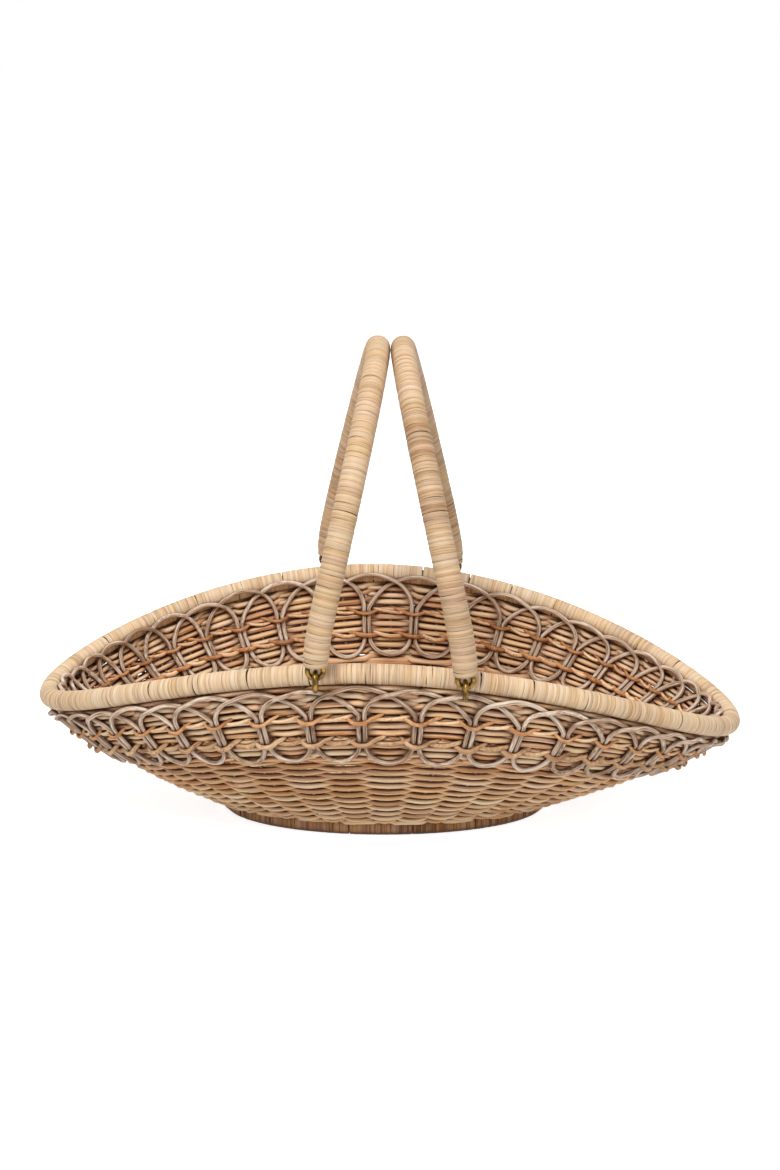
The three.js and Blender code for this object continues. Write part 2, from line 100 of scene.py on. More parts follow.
class BasketShape(bpy.types.PropertyGroup):
    """The form of the basket, which the frame has too"""

    columns: count("Columns", 44, "Double uprights round the wall, and stakes between them")
    rim_length: size("Rim length", 0.610, "Outside length of the rim")
    rim_width: size("Rim width", 0.320, "Outside width of the rim")
    rim_thickness: size("Rim thickness", 0.017, "Thickness of the bound rim")
    rim_end_height: size("Rim end height", 0.0955, "Mean height of the rim's middle line at the two ends")
    rim_middle_height: size("Rim middle height", 0.1705, "Height of the rim's middle line at the middle")
    rim_lean: size("Rim lean", 0.0123, "How much higher the left end is than the mean of the ends")
    rim_plan_power: number("Rim plan power", 2.08, "Fullness of the plan")
    rim_arch_power: number("Rim arch power", 1.9, "Fullness of the arch")
    wall_foot_length: size("Wall foot length", 0.294, "Length of the wall's middle line at the foot")
    wall_foot_width: size("Wall foot width", 0.154, "Width of the wall's middle line at the foot")
    wall_foot_height: size("Wall foot height", 0.0143, "Height of the wall's lower edge")
    bow_end: share("Bow at the ends", 0.45, "How far the wall bows out at the ends")
    bow_middle: share("Bow at the middle", 0.87, "How far the wall bows out at the front and back")
    foot_shift: shift("Foot shift", -0.005, "Place of the foot along X")
    foot_length: size("Foot length", 0.286, "Outside length of the foot")
    foot_width: size("Foot width", 0.150, "Outside width of the foot")
    foot_height: size("Foot height", 0.014, "Height of the foot")
    foot_thickness: size("Foot thickness", 0.012, "Thickness of the foot ring")
    wall_run: size("Wall run", 0.173, "Length of the wall from the foot up to the rim")
    clearance: size("Clearance", 0.0003, "Gap between pieces that touch")


class WeaveSettings(bpy.types.PropertyGroup):
    """Rods and stakes of the wall and the floor"""

    seed: count("Seed", 7, "Seed of everything uneven in the weave")
    steps: count("Steps", 8, "Points on a rod from one stake to the next")
    sides: count("Sides", 8, "Sides of a round rod")
    stake_thickness: size("Stake thickness", 0.0030, "Thickness of a side stake")
    split_share: share("Split share", 0.52, "Share of the wall's height where the two weaves meet")
    seam: share("Seam", 0.008, "Share of the wall's height that the two weaves overlap where they meet")
    border_share: share("Border share", 0.03, "Share of the wall's height that the border row takes")
    lower_rows: count("Lower rows", 21, "Rows of rods in the lower wall")
    lower_thickness: size("Lower rod thickness", 0.0051, "Thickness of the lower rods")
    lower_depth: size("Lower depth", 0.0023, "How far a lower rod swings to each side of the stakes")
    lower_lift: size("Lower lift", 0.0002, "How much higher a lower rod lies outside the wall than inside")
    upper_rows: count("Upper rows", 11, "Rows of paired rods in the upper wall")
    upper_thickness: size("Upper rod thickness", 0.0055, "Thickness of the upper rods")
    upper_depth: size("Upper depth", 0.0026, "How far an upper rod swings to each side of the stakes")
    upper_slant: size("Upper slant", 0.0004, "How far an upper rod climbs and falls round its pair")
    upper_lift: size("Upper lift", 0.0019, "How much higher an upper rod lies outside the wall than inside")
    end_swelling: share("Swelling", 0.16, "How much thicker the lower rods are at the two ends")
    end_thinning: share("Thinning", 0.32, "How much thinner the upper rods are at the two ends")
    floor_pitch: size("Floor row pitch", 0.0042, "Distance between the rows of the floor")
    floor_thickness: size("Floor rod thickness", 0.0048, "Thickness of the floor rods")
    floor_height: size("Floor height", 0.0170, "Height of the middle of the woven floor")
    stick_thickness: size("Stick thickness", 0.0050, "Thickness of the sticks under the floor")


class LoopSettings(bpy.types.PropertyGroup):
    """Looped rods and the twine that ties them"""

    rod_thickness: size("Rod thickness", 0.0039, "Thickness of the looped rods")
    leg_gap: size("Leg gap", 0.0004, "Gap between the two uprights of a column")
    face_height: size("Face height", 0.0048, "Distance from the wall's middle to the face the loops lie on")
    arch_top: share("Arch top", 0.99, "Share of the wall's height that the arches reach")
    inner_arch_top: number("Inner arch top", 1.065, "Share of the wall's height that the inner arches reach")
    arch_peak: share("Arch peak", 0.445, "Place of an arch's highest point between its two uprights")
    leg_top: share("Leg top", 0.84, "Share where the uprights end in an arch")
    leg_foot: share("Leg foot", 0.66, "Share where the uprights end in a scallop")
    scallop: share("Scallop", 0.545, "Share of the wall's height that the scallops reach down to")
    upper_strand: size("Upper strand", 0.0031, "Thickness of one strand of the upper twine")
    lower_strand: size("Lower strand", 0.0040, "Thickness of one strand of the lower twine")
    upper_twine: share("Upper twine", 0.82, "Share of the wall's height of the upper twine")
    lower_twine: share("Lower twine", 0.68, "Share of the wall's height of the lower twine")
    seed: count("Seed", 11, "Seed of everything uneven in the loops")


class PeelSettings(bpy.types.PropertyGroup):
    """Peel wound round the rim, the handles and the foot"""

    seed: count("Seed", 23, "Seed of everything uneven in the turns")
    thickness: size("Peel thickness", 0.0013, "Thickness of the peel")
    rim_width: size("Rim peel width", 0.0042, "Width of a turn on the rim")
    handle_width: size("Handle peel width", 0.0048, "Width of a turn on a handle")
    foot_width: size("Foot peel width", 0.0058, "Width of a turn on the foot")
    gap_every: size("Gap every", 0.037, "Distance between the open seams on the rim")


class HandleSettings(bpy.types.PropertyGroup):
    """The two hoops and their brass eyes"""

    leg_thickness: size("Leg thickness", 0.0204, "Thickness of a bound handle")
    leg_span: size("Leg span", 0.340, "Distance between the middles of a hoop's legs")
    leg_reach: size("Leg reach", 0.059, "Distance from the middle of the basket to a hinge")
    left_height: size("Left height", 0.228, "Height of the left hoop over its hinge")
    right_height: size("Right height", 0.235, "Height of the right hoop over its hinge")
    left_rise: size("Left rise", 0.0085, "Height of the left hinge over the rim's middle line")
    right_rise: size("Right rise", 0.006, "Height of the right hinge over the rim's middle line")
    lean_start: size("Lean start", 0.020, "Height over the hinge where a leg starts to lean")
    lean_bend: size("Lean bend", 0.020, "Length of the bend")
    leg_end_gap: size("Leg end gap", 0.0058, "Height of the leg's end over its hinge")
    binding_height: size("Binding height", 0.0065, "Height of the binding at the leg's end")
    binding_thickness: size("Binding thickness", 0.0192, "Thickness of the binding")
    eye_wire: size("Eye wire", 0.0044, "Thickness of the brass wire")
    handle_eye_width: size("Handle eye width", 0.017, "Outside width of the eye in a leg")
    rim_eye_width: size("Rim eye width", 0.019, "Outside width of the eye in the rim")
    handle_eye_shank: size("Handle eye shank", 0.016, "Length of the shank in a leg")


class ColourSettings(bpy.types.PropertyGroup):
    """Light, middle and dark colour of each finish"""

    wood: colour("Core wood", "8D6B47", "Rods inside the bindings")
    brass: colour("Brass", "A8823C", "Bare brass")
    tarnish: colour("Tarnish", "54401E", "Tarnish on the brass")


TONES = ("light", "middle", "dark")
FINISH_COLOURS = {
    "lower": ("Lower weave", "FFE6BE", "EEBE8C", "AC7044"),
    "upper": ("Upper weave", "FFE8C2", "FED2A4", "BA7848"),
    "stake": ("Stakes", "E6D8C6", "BFA78E", "8A6A4C"),
    "loop": ("Looped rods", "F4E4D2", "CEB096", "8C6A50"),
    "rust": ("Rust twine", "F0BE8E", "D89A66", "9C6238"),
    "straw": ("Straw twine", "E9C8A0", "CCA178", "946443"),
    "rim": ("Rim peel", "F2DABA", "E2C29C", "A8825E"),
    "handle": ("Handle peel", "E6CAA8", "D0AE88", "9A7454"),
    "foot": ("Foot peel", "D6A67A", "B8895F", "7A5335"),
}
for finish, (piece, *codes) in FINISH_COLOURS.items():
    for tone, code in zip(TONES, codes):
        ColourSettings.__annotations__[f"{finish}_{tone}"] = colour(
            f"{piece}, {tone}", code, f"{tone.capitalize()} colour of the {piece.lower()}"
        )


class StageSettings(bpy.types.PropertyGroup):
    """Camera, floor and lights"""

    camera_distance: size("Camera distance", 1.718, "Distance in front of the basket")
    camera_height: size("Camera height", 0.6855, "Height of the camera")
    camera_side: shift("Camera side", -0.0004, "Place along X")
    camera_pitch: turn("Camera pitch", 15.73, "How far the camera looks down")
    lens: number("Lens", 63.8, "Focal length in millimetres")
    floor_size: size("Floor size", 40.0, "Width of the floor")
    show_white: BoolProperty(name="White ground", description="Show the ground as white", default=True)
    floor_lift: number("Floor lift", 0.85, "Strength that makes the floor white")


def shape():
    return bpy.context.scene.basket_shape


def weave():
    return bpy.context.scene.basket_weave


def loops():
    return bpy.context.scene.basket_loops


def peel():
    return bpy.context.scene.basket_peel


def handle():
    return bpy.context.scene.basket_handles


def colours():
    return bpy.context.scene.basket_colours


# ---- The basket's surfaces

def oval_angle(column):
    """Angle round the oval of a place counted in columns."""
    return (np.asarray(column, float) + 0.5) * 2 * np.pi / shape().columns - np.pi / 2


def oval_point(length, width, angle, power=2.0):
    x, y = np.cos(angle), np.sin(angle)
    across = length / 2 * eased(x, 2 / power)
    along = width / 2 * eased(y, 2 / power)
    return np.stack([across, along, np.zeros_like(across)], -1)


def rim_height(x):
    s = shape()
    place = x / ((s.rim_length - s.rim_thickness) / 2)
    arch = (s.rim_middle_height - s.rim_end_height) * (1 - np.abs(place) ** s.rim_arch_power)
    return s.rim_end_height + arch - s.rim_lean * place


def rim_centre(angle):
    s = shape()
    length, width = s.rim_length - s.rim_thickness, s.rim_width - s.rim_thickness
    point = oval_point(length, width, angle, s.rim_plan_power)
    point[..., 2] = rim_height(point[..., 0])
    return point


def wall_foot(angle):
    s = shape()
    point = oval_point(s.wall_foot_length, s.wall_foot_width, angle)
    point[..., 0] += s.foot_shift
    point[..., 2] = s.wall_foot_height
    return point


def wall_bow(angle):
    s = shape()
    return s.bow_end + (s.bow_middle - s.bow_end) * np.sin(angle) ** 2


def unit(vectors):
    return vectors / np.linalg.norm(vectors, axis=-1, keepdims=True)


def wall_climb(angle):
    """Direction in which the wall climbs where it meets the rim."""
    run = rim_centre(angle) - wall_foot(angle)
    spread = 1 - wall_bow(angle)
    run[..., 0] *= spread
    run[..., 1] *= spread
    return unit(run)


def wall_middle(column, height):
    """Middle of the wall at a column and a share of its height."""
    s = shape()
    column, height = np.broadcast_arrays(np.asarray(column, float), np.asarray(height, float))
    angle = oval_angle(column)
    foot = wall_foot(angle)
    top = rim_centre(angle) - wall_climb(angle) * (s.rim_thickness / 2 + s.clearance)
    reach = height + wall_bow(angle) * height * (1 - height)
    point = foot + (top - foot) * reach[..., None]
    point[..., 2] = foot[..., 2] + (top[..., 2] - foot[..., 2]) * height
    return point


def wall_outward(column, height):
    step = 0.01
    along = wall_middle(column + step, height) - wall_middle(column - step, height)
    climb = wall_middle(column, height + step) - wall_middle(column, height - step)
    return unit(np.cross(along, climb))


def wall_point(column, height, offset):
    column, height, offset = np.broadcast_arrays(column, height, np.asarray(offset, float))
    return wall_middle(column, height) + wall_outward(column, height) * offset[..., None]


HEIGHT_SAMPLES = 33


def even_heights(column, low, high, parts):
    """Heights that divide the wall between two heights into parts of even length, at each column."""
    samples = np.linspace(low, high, HEIGHT_SAMPLES)
    points = wall_middle(np.asarray(column)[:, None], samples[None, :])
    lengths = np.linalg.norm(np.diff(points, axis=1), axis=-1)
    totals = np.concatenate([np.zeros((len(column), 1)), np.cumsum(lengths, axis=1)], axis=1)
    return np.stack([np.interp(part * t[-1], t, samples) for t, part in zip(totals, parts)])


# ---- Node trees

def new_tree(name, kind, inputs, outputs):
    """A node group with its sockets, each a label and a type."""
    tree = bpy.data.node_groups.new(name, kind)
    for in_out, sockets in (("INPUT", inputs), ("OUTPUT", outputs)):
        for label, socket in sockets.items():
            tree.interface.new_socket(label, in_out=in_out, socket_type=f"NodeSocket{socket}")
    return tree, tree.nodes.new("NodeGroupInput"), tree.nodes.new("NodeGroupOutput")


def fill(tree, node, inputs):
    """Gives each input of a node a link from a socket, or a plain value."""
    for name, value in inputs.items():
        if isinstance(value, bpy.types.NodeSocket):
            tree.links.new(value, node.inputs[name])
        else:
            node.inputs[name].default_value = value
    return node


def add_node(tree, kind, inputs, **settings):
    node = tree.nodes.new(kind)
    for name, value in settings.items():
        setattr(node, name, value)
    return fill(tree, node, inputs)


def maths(tree, operation, *values):
    """The result of a Math node of numbers and sockets."""
    return add_node(tree, "ShaderNodeMath", dict(enumerate(values)), operation=operation).outputs[0]


def attribute(tree, name, kind="FLOAT"):
    node = add_node(tree, "GeometryNodeInputNamedAttribute", {"Name": name}, data_type=kind)
    return node.outputs["Attribute"]


def finish_tree(tree, geometry, start, end):
    """Ends a tree in Realize Instances and Set Material."""
    smooth = add_node(tree, "GeometryNodeSetShadeSmooth", {"Geometry": geometry})
    real = add_node(tree, "GeometryNodeRealizeInstances", {"Geometry": smooth.outputs["Geometry"]})
    painted = add_node(tree, "GeometryNodeSetMaterial", {
        "Geometry": real.outputs["Geometry"], "Material": start.outputs["Material"],
    })
    fill(tree, end, {"Geometry": painted.outputs["Geometry"]})
    return tree


def rod_tree():
    """A round rod along every chain of edges. The chains carry the thickness of each point."""
    tree, start, end = new_tree("Round Rods", "GeometryNodeTree", {
        "Geometry": "Geometry", "Thickness": "Float", "Sides": "Int", "Unevenness": "Float",
        "Bump Size": "Float", "Seed": "Int", "Material": "Material",
    }, {"Geometry": "Geometry"})
    given = start.outputs
    path = add_node(tree, "GeometryNodeMeshToCurve", {"Mesh": given["Geometry"]})
    circle = add_node(tree, "GeometryNodeCurvePrimitiveCircle", {"Radius": 1, "Resolution": given["Sides"]})
    place = add_node(tree, "GeometryNodeInputPosition", {})
    ring = add_node(tree, "GeometryNodeStoreNamedAttribute", {
        "Geometry": circle.outputs["Curve"], "Name": "ring", "Value": place.outputs["Position"],
    }, data_type="FLOAT_VECTOR", domain="POINT")
    noise = add_node(tree, "ShaderNodeTexNoise", {
        "Scale": maths(tree, "DIVIDE", 1, given["Bump Size"]), "W": given["Seed"], "Detail": 1,
    }, noise_dimensions="4D")
    centred = maths(tree, "SUBTRACT", noise.outputs["Fac"], 0.5)
    uneven = maths(tree, "MULTIPLY_ADD", centred, given["Unevenness"], 1)
    radius = maths(tree, "MULTIPLY", given["Thickness"], 0.5)
    thick = maths(tree, "MULTIPLY", radius, attribute(tree, "thick"))
    sweep = add_node(tree, "GeometryNodeCurveToMesh", {
        "Curve": path.outputs["Curve"], "Profile Curve": ring.outputs["Geometry"],
        "Scale": maths(tree, "MULTIPLY", thick, uneven), "Fill Caps": True,
    })
    return finish_tree(tree, sweep.outputs["Mesh"], start, end)


def turn_tree():
    """One turn of peel at every point. The points carry the way it faces, its size and its shade."""
    tree, start, end = new_tree("Peel Turns", "GeometryNodeTree", {
        "Geometry": "Geometry", "Turn": "Object", "Material": "Material",
    }, {"Geometry": "Geometry"})
    info = add_node(tree, "GeometryNodeObjectInfo", {"Object": start.outputs["Turn"], "As Instance": True})
    facing = add_node(tree, "FunctionNodeAxesToRotation", {
        "Primary Axis": attribute(tree, "axis", "FLOAT_VECTOR"),
        "Secondary Axis": attribute(tree, "face", "FLOAT_VECTOR"),
    }, primary_axis="Z", secondary_axis="X")
    put = add_node(tree, "GeometryNodeInstanceOnPoints", {
        "Points": start.outputs["Geometry"], "Instance": info.outputs["Geometry"],
        "Rotation": facing.outputs["Rotation"], "Scale": attribute(tree, "size", "FLOAT_VECTOR"),
    })
    shade = add_node(tree, "GeometryNodeStoreNamedAttribute", {
        "Geometry": put.outputs["Instances"], "Name": "shade", "Value": attribute(tree, "tone"),
    }, data_type="FLOAT", domain="INSTANCE")
    return finish_tree(tree, shade.outputs["Geometry"], start, end)


def tree_named(name, build):
    return bpy.data.node_groups.get(name) or build()


def grow(obj, tree, **values):
    """Runs a node tree on an object and keeps the result as its plain mesh."""
    modifier = obj.modifiers.new(tree.name, "NODES")
    modifier.node_group = tree
    for item in tree.interface.items_tree:
        key = item.name.lower().replace(" ", "_")
        if item.item_type == "SOCKET" and item.in_out == "INPUT" and key in values:
            modifier[item.identifier] = values[key]
    depsgraph = bpy.context.evaluated_depsgraph_get()
    made = bpy.data.meshes.new_from_object(
        obj.evaluated_get(depsgraph), preserve_all_data_layers=True, depsgraph=depsgraph
    )
    obj.modifiers.clear()
    raw = obj.data
    obj.data = made
    made.name = obj.name
    bpy.data.meshes.remove(raw)


def plain_object(name, points, edges=(), faces=()):
    mesh = bpy.data.meshes.new(name)
    mesh.from_pydata([tuple(p) for p in points], list(edges), list(faces))
    obj = bpy.data.objects.new(name, mesh)
    bpy.context.scene.collection.objects.link(obj)
    return obj


def set_values(obj, name, values, kind="FLOAT"):
    layer = obj.data.attributes.new(name, kind, "POINT")
    field = "vector" if kind == "FLOAT_VECTOR" else "value"
    layer.data.foreach_set(field, np.asarray(values, np.float32).ravel())


def settle(obj, body, nodes):
    """Says which body a piece rides on and hides the CAD nodes it stands for."""
    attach(obj, body)
    if nodes:
        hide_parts(*nodes)


class Rod:
    """Points of one rod, the share of its thickness at each and its shade."""

    def __init__(self, points, thick, shade):
        self.points = np.asarray(points, float)
        steps = np.linalg.norm(np.diff(self.points, axis=0), axis=1)
        self.along = np.concatenate([[0], np.cumsum(steps)])
        self.thick = np.broadcast_to(np.asarray(thick, float), self.along.shape)
        self.shade = np.broadcast_to(np.asarray(shade, float), self.along.shape)


def add_rods(name, rods, thickness, finish, nodes, seed, sides=8, uneven=0.06, bump=0.012):
    """Makes a piece of round rods that rides on the basket and stands for CAD nodes."""
    points = np.concatenate([rod.points for rod in rods])
    edges, first = [], 0
    for rod in rods:
        last = first + len(rod.points) - 1
        edges += [(k, k + 1) for k in range(first, last)]
        first = last + 1
    obj = plain_object(name, points, edges)
    for key in ("thick", "along", "shade"):
        set_values(obj, key, np.concatenate([getattr(rod, key) for rod in rods]))
    grow(obj, tree_named("Round Rods", rod_tree), thickness=thickness, sides=sides, unevenness=uneven,
         bump_size=bump, seed=seed, material=fibre_material(finish))
    settle(obj, "basket", nodes)


def grid_faces(rows, around, closed=True, first=0):
    """Faces between rows of points. Each row is a ring, and the rows may close to a ring too."""
    faces = []
    for k in range(rows if closed else rows - 1):
        for j in range(around):
            low, high = first + k * around, first + (k + 1) % rows * around
            beside = (j + 1) % around
            faces.append((low + j, low + beside, high + beside, high + j))
    return faces


# Section of a strip of peel, across from edge to edge and up, as shares of half its width and its thickness
STRIP = ((-0.98, -0.1), (-1, 0.90), (-0.9, 0.99), (0, 1), (0.9, 0.99), (1, 0.90), (0.98, -0.1))


def turn_object(outline, width, thickness):
    """One closed turn of peel round an outline in the XY plane, with its edges rounded off."""
    outline = np.asarray(outline, float)
    tangents = np.roll(outline, -1, axis=0) - np.roll(outline, 1, axis=0)
    outward = unit(np.stack([tangents[:, 1], -tangents[:, 0]], -1))
    lengths = np.linalg.norm(np.roll(outline, -1, axis=0) - outline, axis=1)
    along = np.concatenate([[0], np.cumsum(lengths)])
    points, rings, alongs = [], [], []
    for k, (spot, normal) in enumerate(zip(outline, outward)):
        for across, lift in STRIP:
            points.append((*(spot + normal * (thickness * lift)), across * width / 2))
            rings.append((across, 0, 0))
            alongs.append(min(along[k], along[-1] - along[k]))
    faces = [(a, d, c, b) for a, b, c, d in grid_faces(len(outline), len(STRIP))]
    obj = plain_object("one_turn", points, faces=faces)
    set_values(obj, "ring", rings, "FLOAT_VECTOR")
    set_values(obj, "along", alongs)
    return obj


def round_turn(thickness, width, sides=28):
    """One turn of peel round a rod. The thickness is that of the rod with its peel."""
    radius = thickness / 2 - peel().thickness
    angles = np.linspace(0, 2 * np.pi, sides, endpoint=False)
    outline = np.stack([radius * np.cos(angles), radius * np.sin(angles)], -1)
    return turn_object(outline, width, peel().thickness)


def add_turns(name, places, one_turn, finish, body, node):
    """Makes a piece of peel turns. Each place is a point, an axis, a face, a size and a tone."""
    spots, axes, faces, sizes, tones = zip(*places)
    obj = plain_object(name, spots)
    for key, values in (("axis", axes), ("face", faces), ("size", sizes)):
        set_values(obj, key, values, "FLOAT_VECTOR")
    set_values(obj, "tone", tones)
    grow(obj, tree_named("Peel Turns", turn_tree), turn=one_turn, material=fibre_material(finish))
    bpy.data.objects.remove(one_turn)
    settle(obj, body, [node])


# ---- Materials

def mapped(tree, value, low, high, to_low=0, to_high=1):
    """A value moved from one range into another."""
    return add_node(tree, "ShaderNodeMapRange", {
        "Value": value, "From Min": low, "From Max": high, "To Min": to_low, "To Max": to_high,
    }).outputs[0]


def mixed(tree, factor, first, second, blend="MIX"):
    """A mix of two colours, which are the inputs 6 and 7 of the node."""
    return add_node(tree, "ShaderNodeMix", {"Factor": factor, 6: first, 7: second},
                    data_type="RGBA", blend_type=blend).outputs[2]


def noise_of(tree, scale, detail, inputs, dimensions="3D"):
    return add_node(tree, "ShaderNodeTexNoise", {
        "Scale": scale, "Detail": detail, "Roughness": 0.6, **inputs,
    }, noise_dimensions=dimensions).outputs["Fac"]


FIBRE_VALUES = ("Variation", "Streaks", "Streak Count", "Blotches", "Edges", "Roughness")
# The values above, relief, gloss and how open a place has to be to get no painted shade, for each finish
FIBRES = {
    "lower": (0.6, 0.6, 3.2, 0.5, 0.0, 0.44, 0.7, 0.45, 0.86),
    "upper": (0.62, 0.6, 3.2, 0.5, 0.0, 0.44, 0.7, 0.45, 0.86),
    "stake": (0.5, 0.5, 3.0, 0.5, 0.0, 0.55, 0.6, 0.2, 0.50),
    "loop": (0.5, 1.2, 2.3, 0.5, 0.0, 0.5, 0.9, 0.3, 0.76),
    "rust": (0.7, 0.6, 3.0, 0.6, 0.0, 0.5, 0.9, 0.3, 0.76),
    "straw": (0.8, 0.6, 3.0, 0.6, 0.0, 0.5, 0.9, 0.3, 0.76),
    "rim": (0.38, 0.5, 4.0, 0.5, 0.8, 0.42, 0.5, 0.35, 0.62),
    "handle": (0.40, 0.5, 4.0, 0.5, 0.8, 0.42, 0.5, 0.35, 0.62),
    "foot": (0.8, 0.8, 4.0, 0.8, 0.9, 0.5, 0.6, 0.3, 0.76),
}

# How far and with how many rays a place looks round itself, and how wide the step from painted shade to none
# is
SHADE_REACH, SHADE_RAYS, SHADE_RANGE = 0.009, 6, 0.56
# What the painted shade in the crevices multiplies a colour with
PAINTED_SHADE = (0.17, 0.075, 0.03, 1)


# What a piece's shade is multiplied with, so that its noise and its chances differ from those of the next
SEED_SCALE, CHANCE_SCALE = 53, 977
# Hue and richness of the pieces, and where between the middle of a strip and its edge the edge darkens
HUES, RICHNESS, EDGE = (0.494, 0.506), (0.90, 1.12), (0.8, 1)


def fibre_group():
    """Plant fibre of a rod or a strip: shade and hue of each piece, streaks, blotches, dark edges."""
    tree, start, end = new_tree("Plant Fibre", "ShaderNodeTree", {
        **dict.fromkeys(("Light", "Middle", "Dark"), "Color"), **dict.fromkeys(FIBRE_VALUES, "Float"),
    }, {"Color": "Color", "Roughness": "Float", "Height": "Float"})
    given = start.outputs
    along, ring, shade = (
        add_node(tree, "ShaderNodeAttribute", {}, attribute_name=name).outputs
        for name in ("along", "ring", "shade")
    )
    across = add_node(tree, "ShaderNodeSeparateXYZ", {0: ring["Vector"]}).outputs
    shade = shade["Fac"]

    def swung(value, strength):
        """A value that lies about 0.5, moved to lie about 0 and made stronger."""
        return maths(tree, "MULTIPLY", maths(tree, "SUBTRACT", value, 0.5), strength)

    # Streaks, blotches and fine fibre, each with its own scale along the piece and across it
    seed = maths(tree, "MULTIPLY", shade, SEED_SCALE)
    noises = []
    for along_scale, ring_scale, detail in ((30, given["Streak Count"], 3), (13, 0.8, 3), (45, 7, 2)):
        place = add_node(tree, "ShaderNodeCombineXYZ", {
            "X": maths(tree, "MULTIPLY", along["Fac"], along_scale),
            "Y": maths(tree, "MULTIPLY", across["X"], ring_scale),
            "Z": maths(tree, "MULTIPLY", across["Y"], ring_scale),
        })
        noises.append(noise_of(tree, 1, detail, {"Vector": place.outputs[0], "W": seed}, "4D"))
    streak, blotch, fine = noises
    # Tone: 0 is dark, 0.5 the middle and 1 light.
    tone = maths(tree, "ADD", swung(shade, given["Variation"]), 0.5)
    for part, amount in ((streak, "Streaks"), (blotch, "Blotches")):
        tone = maths(tree, "ADD", tone, maths(tree, "MULTIPLY", swung(part, 3), given[amount]))
    tone = maths(tree, "ADD", tone, swung(fine, 0.5))
    dark_side = mixed(tree, mapped(tree, tone, 0, 0.5), given["Dark"], given["Middle"])
    toned = mixed(tree, mapped(tree, tone, 0.5, 1), dark_side, given["Light"])
    # Three numbers by chance for each piece: its hue, its richness and how dark its edges are
    chance = add_node(tree, "ShaderNodeTexWhiteNoise", {"W": maths(tree, "MULTIPLY", shade, CHANCE_SCALE)},
                      noise_dimensions="1D")
    pick = add_node(tree, "ShaderNodeSeparateColor", {0: chance.outputs["Color"]}).outputs
    tinted = add_node(tree, "ShaderNodeHueSaturation", {
        "Hue": mapped(tree, pick[0], 0, 1, *HUES),
        "Saturation": mapped(tree, pick[1], 0, 1, *RICHNESS), "Color": toned,
    }).outputs[0]
    edge = mapped(tree, maths(tree, "ABSOLUTE", across["X"]), *EDGE)
    mask = maths(tree, "MULTIPLY", edge, mapped(tree, pick[2], 0.5, 1))
    fill(tree, end, {
        "Color": mixed(tree, maths(tree, "MULTIPLY", mask, given["Edges"]), tinted, given["Dark"]),
        "Roughness": maths(tree, "ADD", maths(tree, "MULTIPLY", fine, 0.25), given["Roughness"]),
        "Height": maths(tree, "ADD", maths(tree, "MULTIPLY", fine, 0.5), streak),
    })
    return tree


def new_material(name):
    material = bpy.data.materials.new(name)
    material.use_nodes = True
    tree = material.node_tree
    return material, tree, tree.nodes["Principled BSDF"]


def bumped(tree, height, strength, distance):
    return add_node(tree, "ShaderNodeBump", {
        "Height": height, "Strength": strength, "Distance": distance,
    }).outputs["Normal"]


def fibre_material(finish):
    """Plant fibre in the three colours of a finish. Painted shade darkens the places between the rods."""
    name = f"{finish}_fibre"
    if name in bpy.data.materials:
        return bpy.data.materials[name]
    material, tree, shader = new_material(name)
    *values, relief, gloss, shade_free_from = FIBRES[finish]
    tones = {tone.capitalize(): (*getattr(colours(), f"{finish}_{tone}"), 1) for tone in TONES}
    fibre = add_node(tree, "ShaderNodeGroup", {**tones, **dict(zip(FIBRE_VALUES, values))},
                     node_tree=tree_named("Plant Fibre", fibre_group)).outputs
    # Painted shade: the Ambient Occlusion mask darkens the colour in the crevices between rods and strips.
    occluded = add_node(tree, "ShaderNodeAmbientOcclusion", {"Distance": SHADE_REACH}, samples=SHADE_RAYS)
    unshaded = mapped(tree, occluded.outputs["AO"], shade_free_from - SHADE_RANGE, shade_free_from)
    shaded = mixed(tree, 1, fibre["Color"], PAINTED_SHADE, "MULTIPLY")
    fill(tree, shader, {
        "Base Color": mixed(tree, unshaded, shaded, fibre["Color"]), "Roughness": fibre["Roughness"],
        "Specular IOR Level": gloss, "Normal": bumped(tree, fibre["Height"], relief, 0.0006),
    })
    return material


def wood_material():
    """Plain wood for the rods inside the bindings."""
    material, tree, shader = new_material("core_wood")
    place = add_node(tree, "ShaderNodeTexCoord", {}).outputs["Object"]
    grain = noise_of(tree, 140, 5, {"Vector": place})
    wood = (*colours().wood, 1)
    fill(tree, shader, {
        "Base Color": mixed(tree, 1, wood, mapped(tree, grain, 0.3, 0.7, 0.55, 1.15), "MULTIPLY"),
        "Roughness": 0.75, "Normal": bumped(tree, grain, 0.5, 0.0005),
    })
    return material


def brass_material():
    """Old brass: bare yellow where it is rubbed and olive brown where it is not."""
    material, tree, shader = new_material("aged_brass")
    place = add_node(tree, "ShaderNodeTexCoord", {}).outputs["Object"]
    patches = noise_of(tree, 260, 5, {"Vector": place})
    rubbed = mapped(tree, patches, 0.42, 0.62)
    fill(tree, shader, {
        "Base Color": mixed(tree, rubbed, (*colours().tarnish, 1), (*colours().brass, 1)),
        "Roughness": mapped(tree, patches, 0.3, 0.7, 0.55, 0.28), "Metallic": 0.85,
        "Normal": bumped(tree, patches, 0.25, 0.0004),
    })
    return material


# ---- Pieces

def wander(rng, length, size, step=6):
    """Slow random bends: knots every few points with a smooth line between them."""
    knots = rng.normal(0, 1, length // step + 3)
    place = np.arange(length) / step
    before = place.astype(int)
    part = place - before
    part = part * part * (3 - 2 * part)
    return size * (knots[before] * (1 - part) + knots[before + 1] * part)


def eased(values, power):
    """Values from -1 to 1 that stay longer at both ends, the more the lower the power."""
    return np.sign(values) * np.abs(values) ** power


def endness(column):
    """1 at the two ends of the basket and 0 at its front and back."""
    return np.abs(np.cos(oval_angle(column))) ** 3


def within(shades):
    """Shades with the darkest and the lightest cut off."""
    return np.clip(shades, 0.02, 0.98)


def shade_of(rng, spread, pale=0.0):
    return within(rng.normal(0.5, spread) + pale)


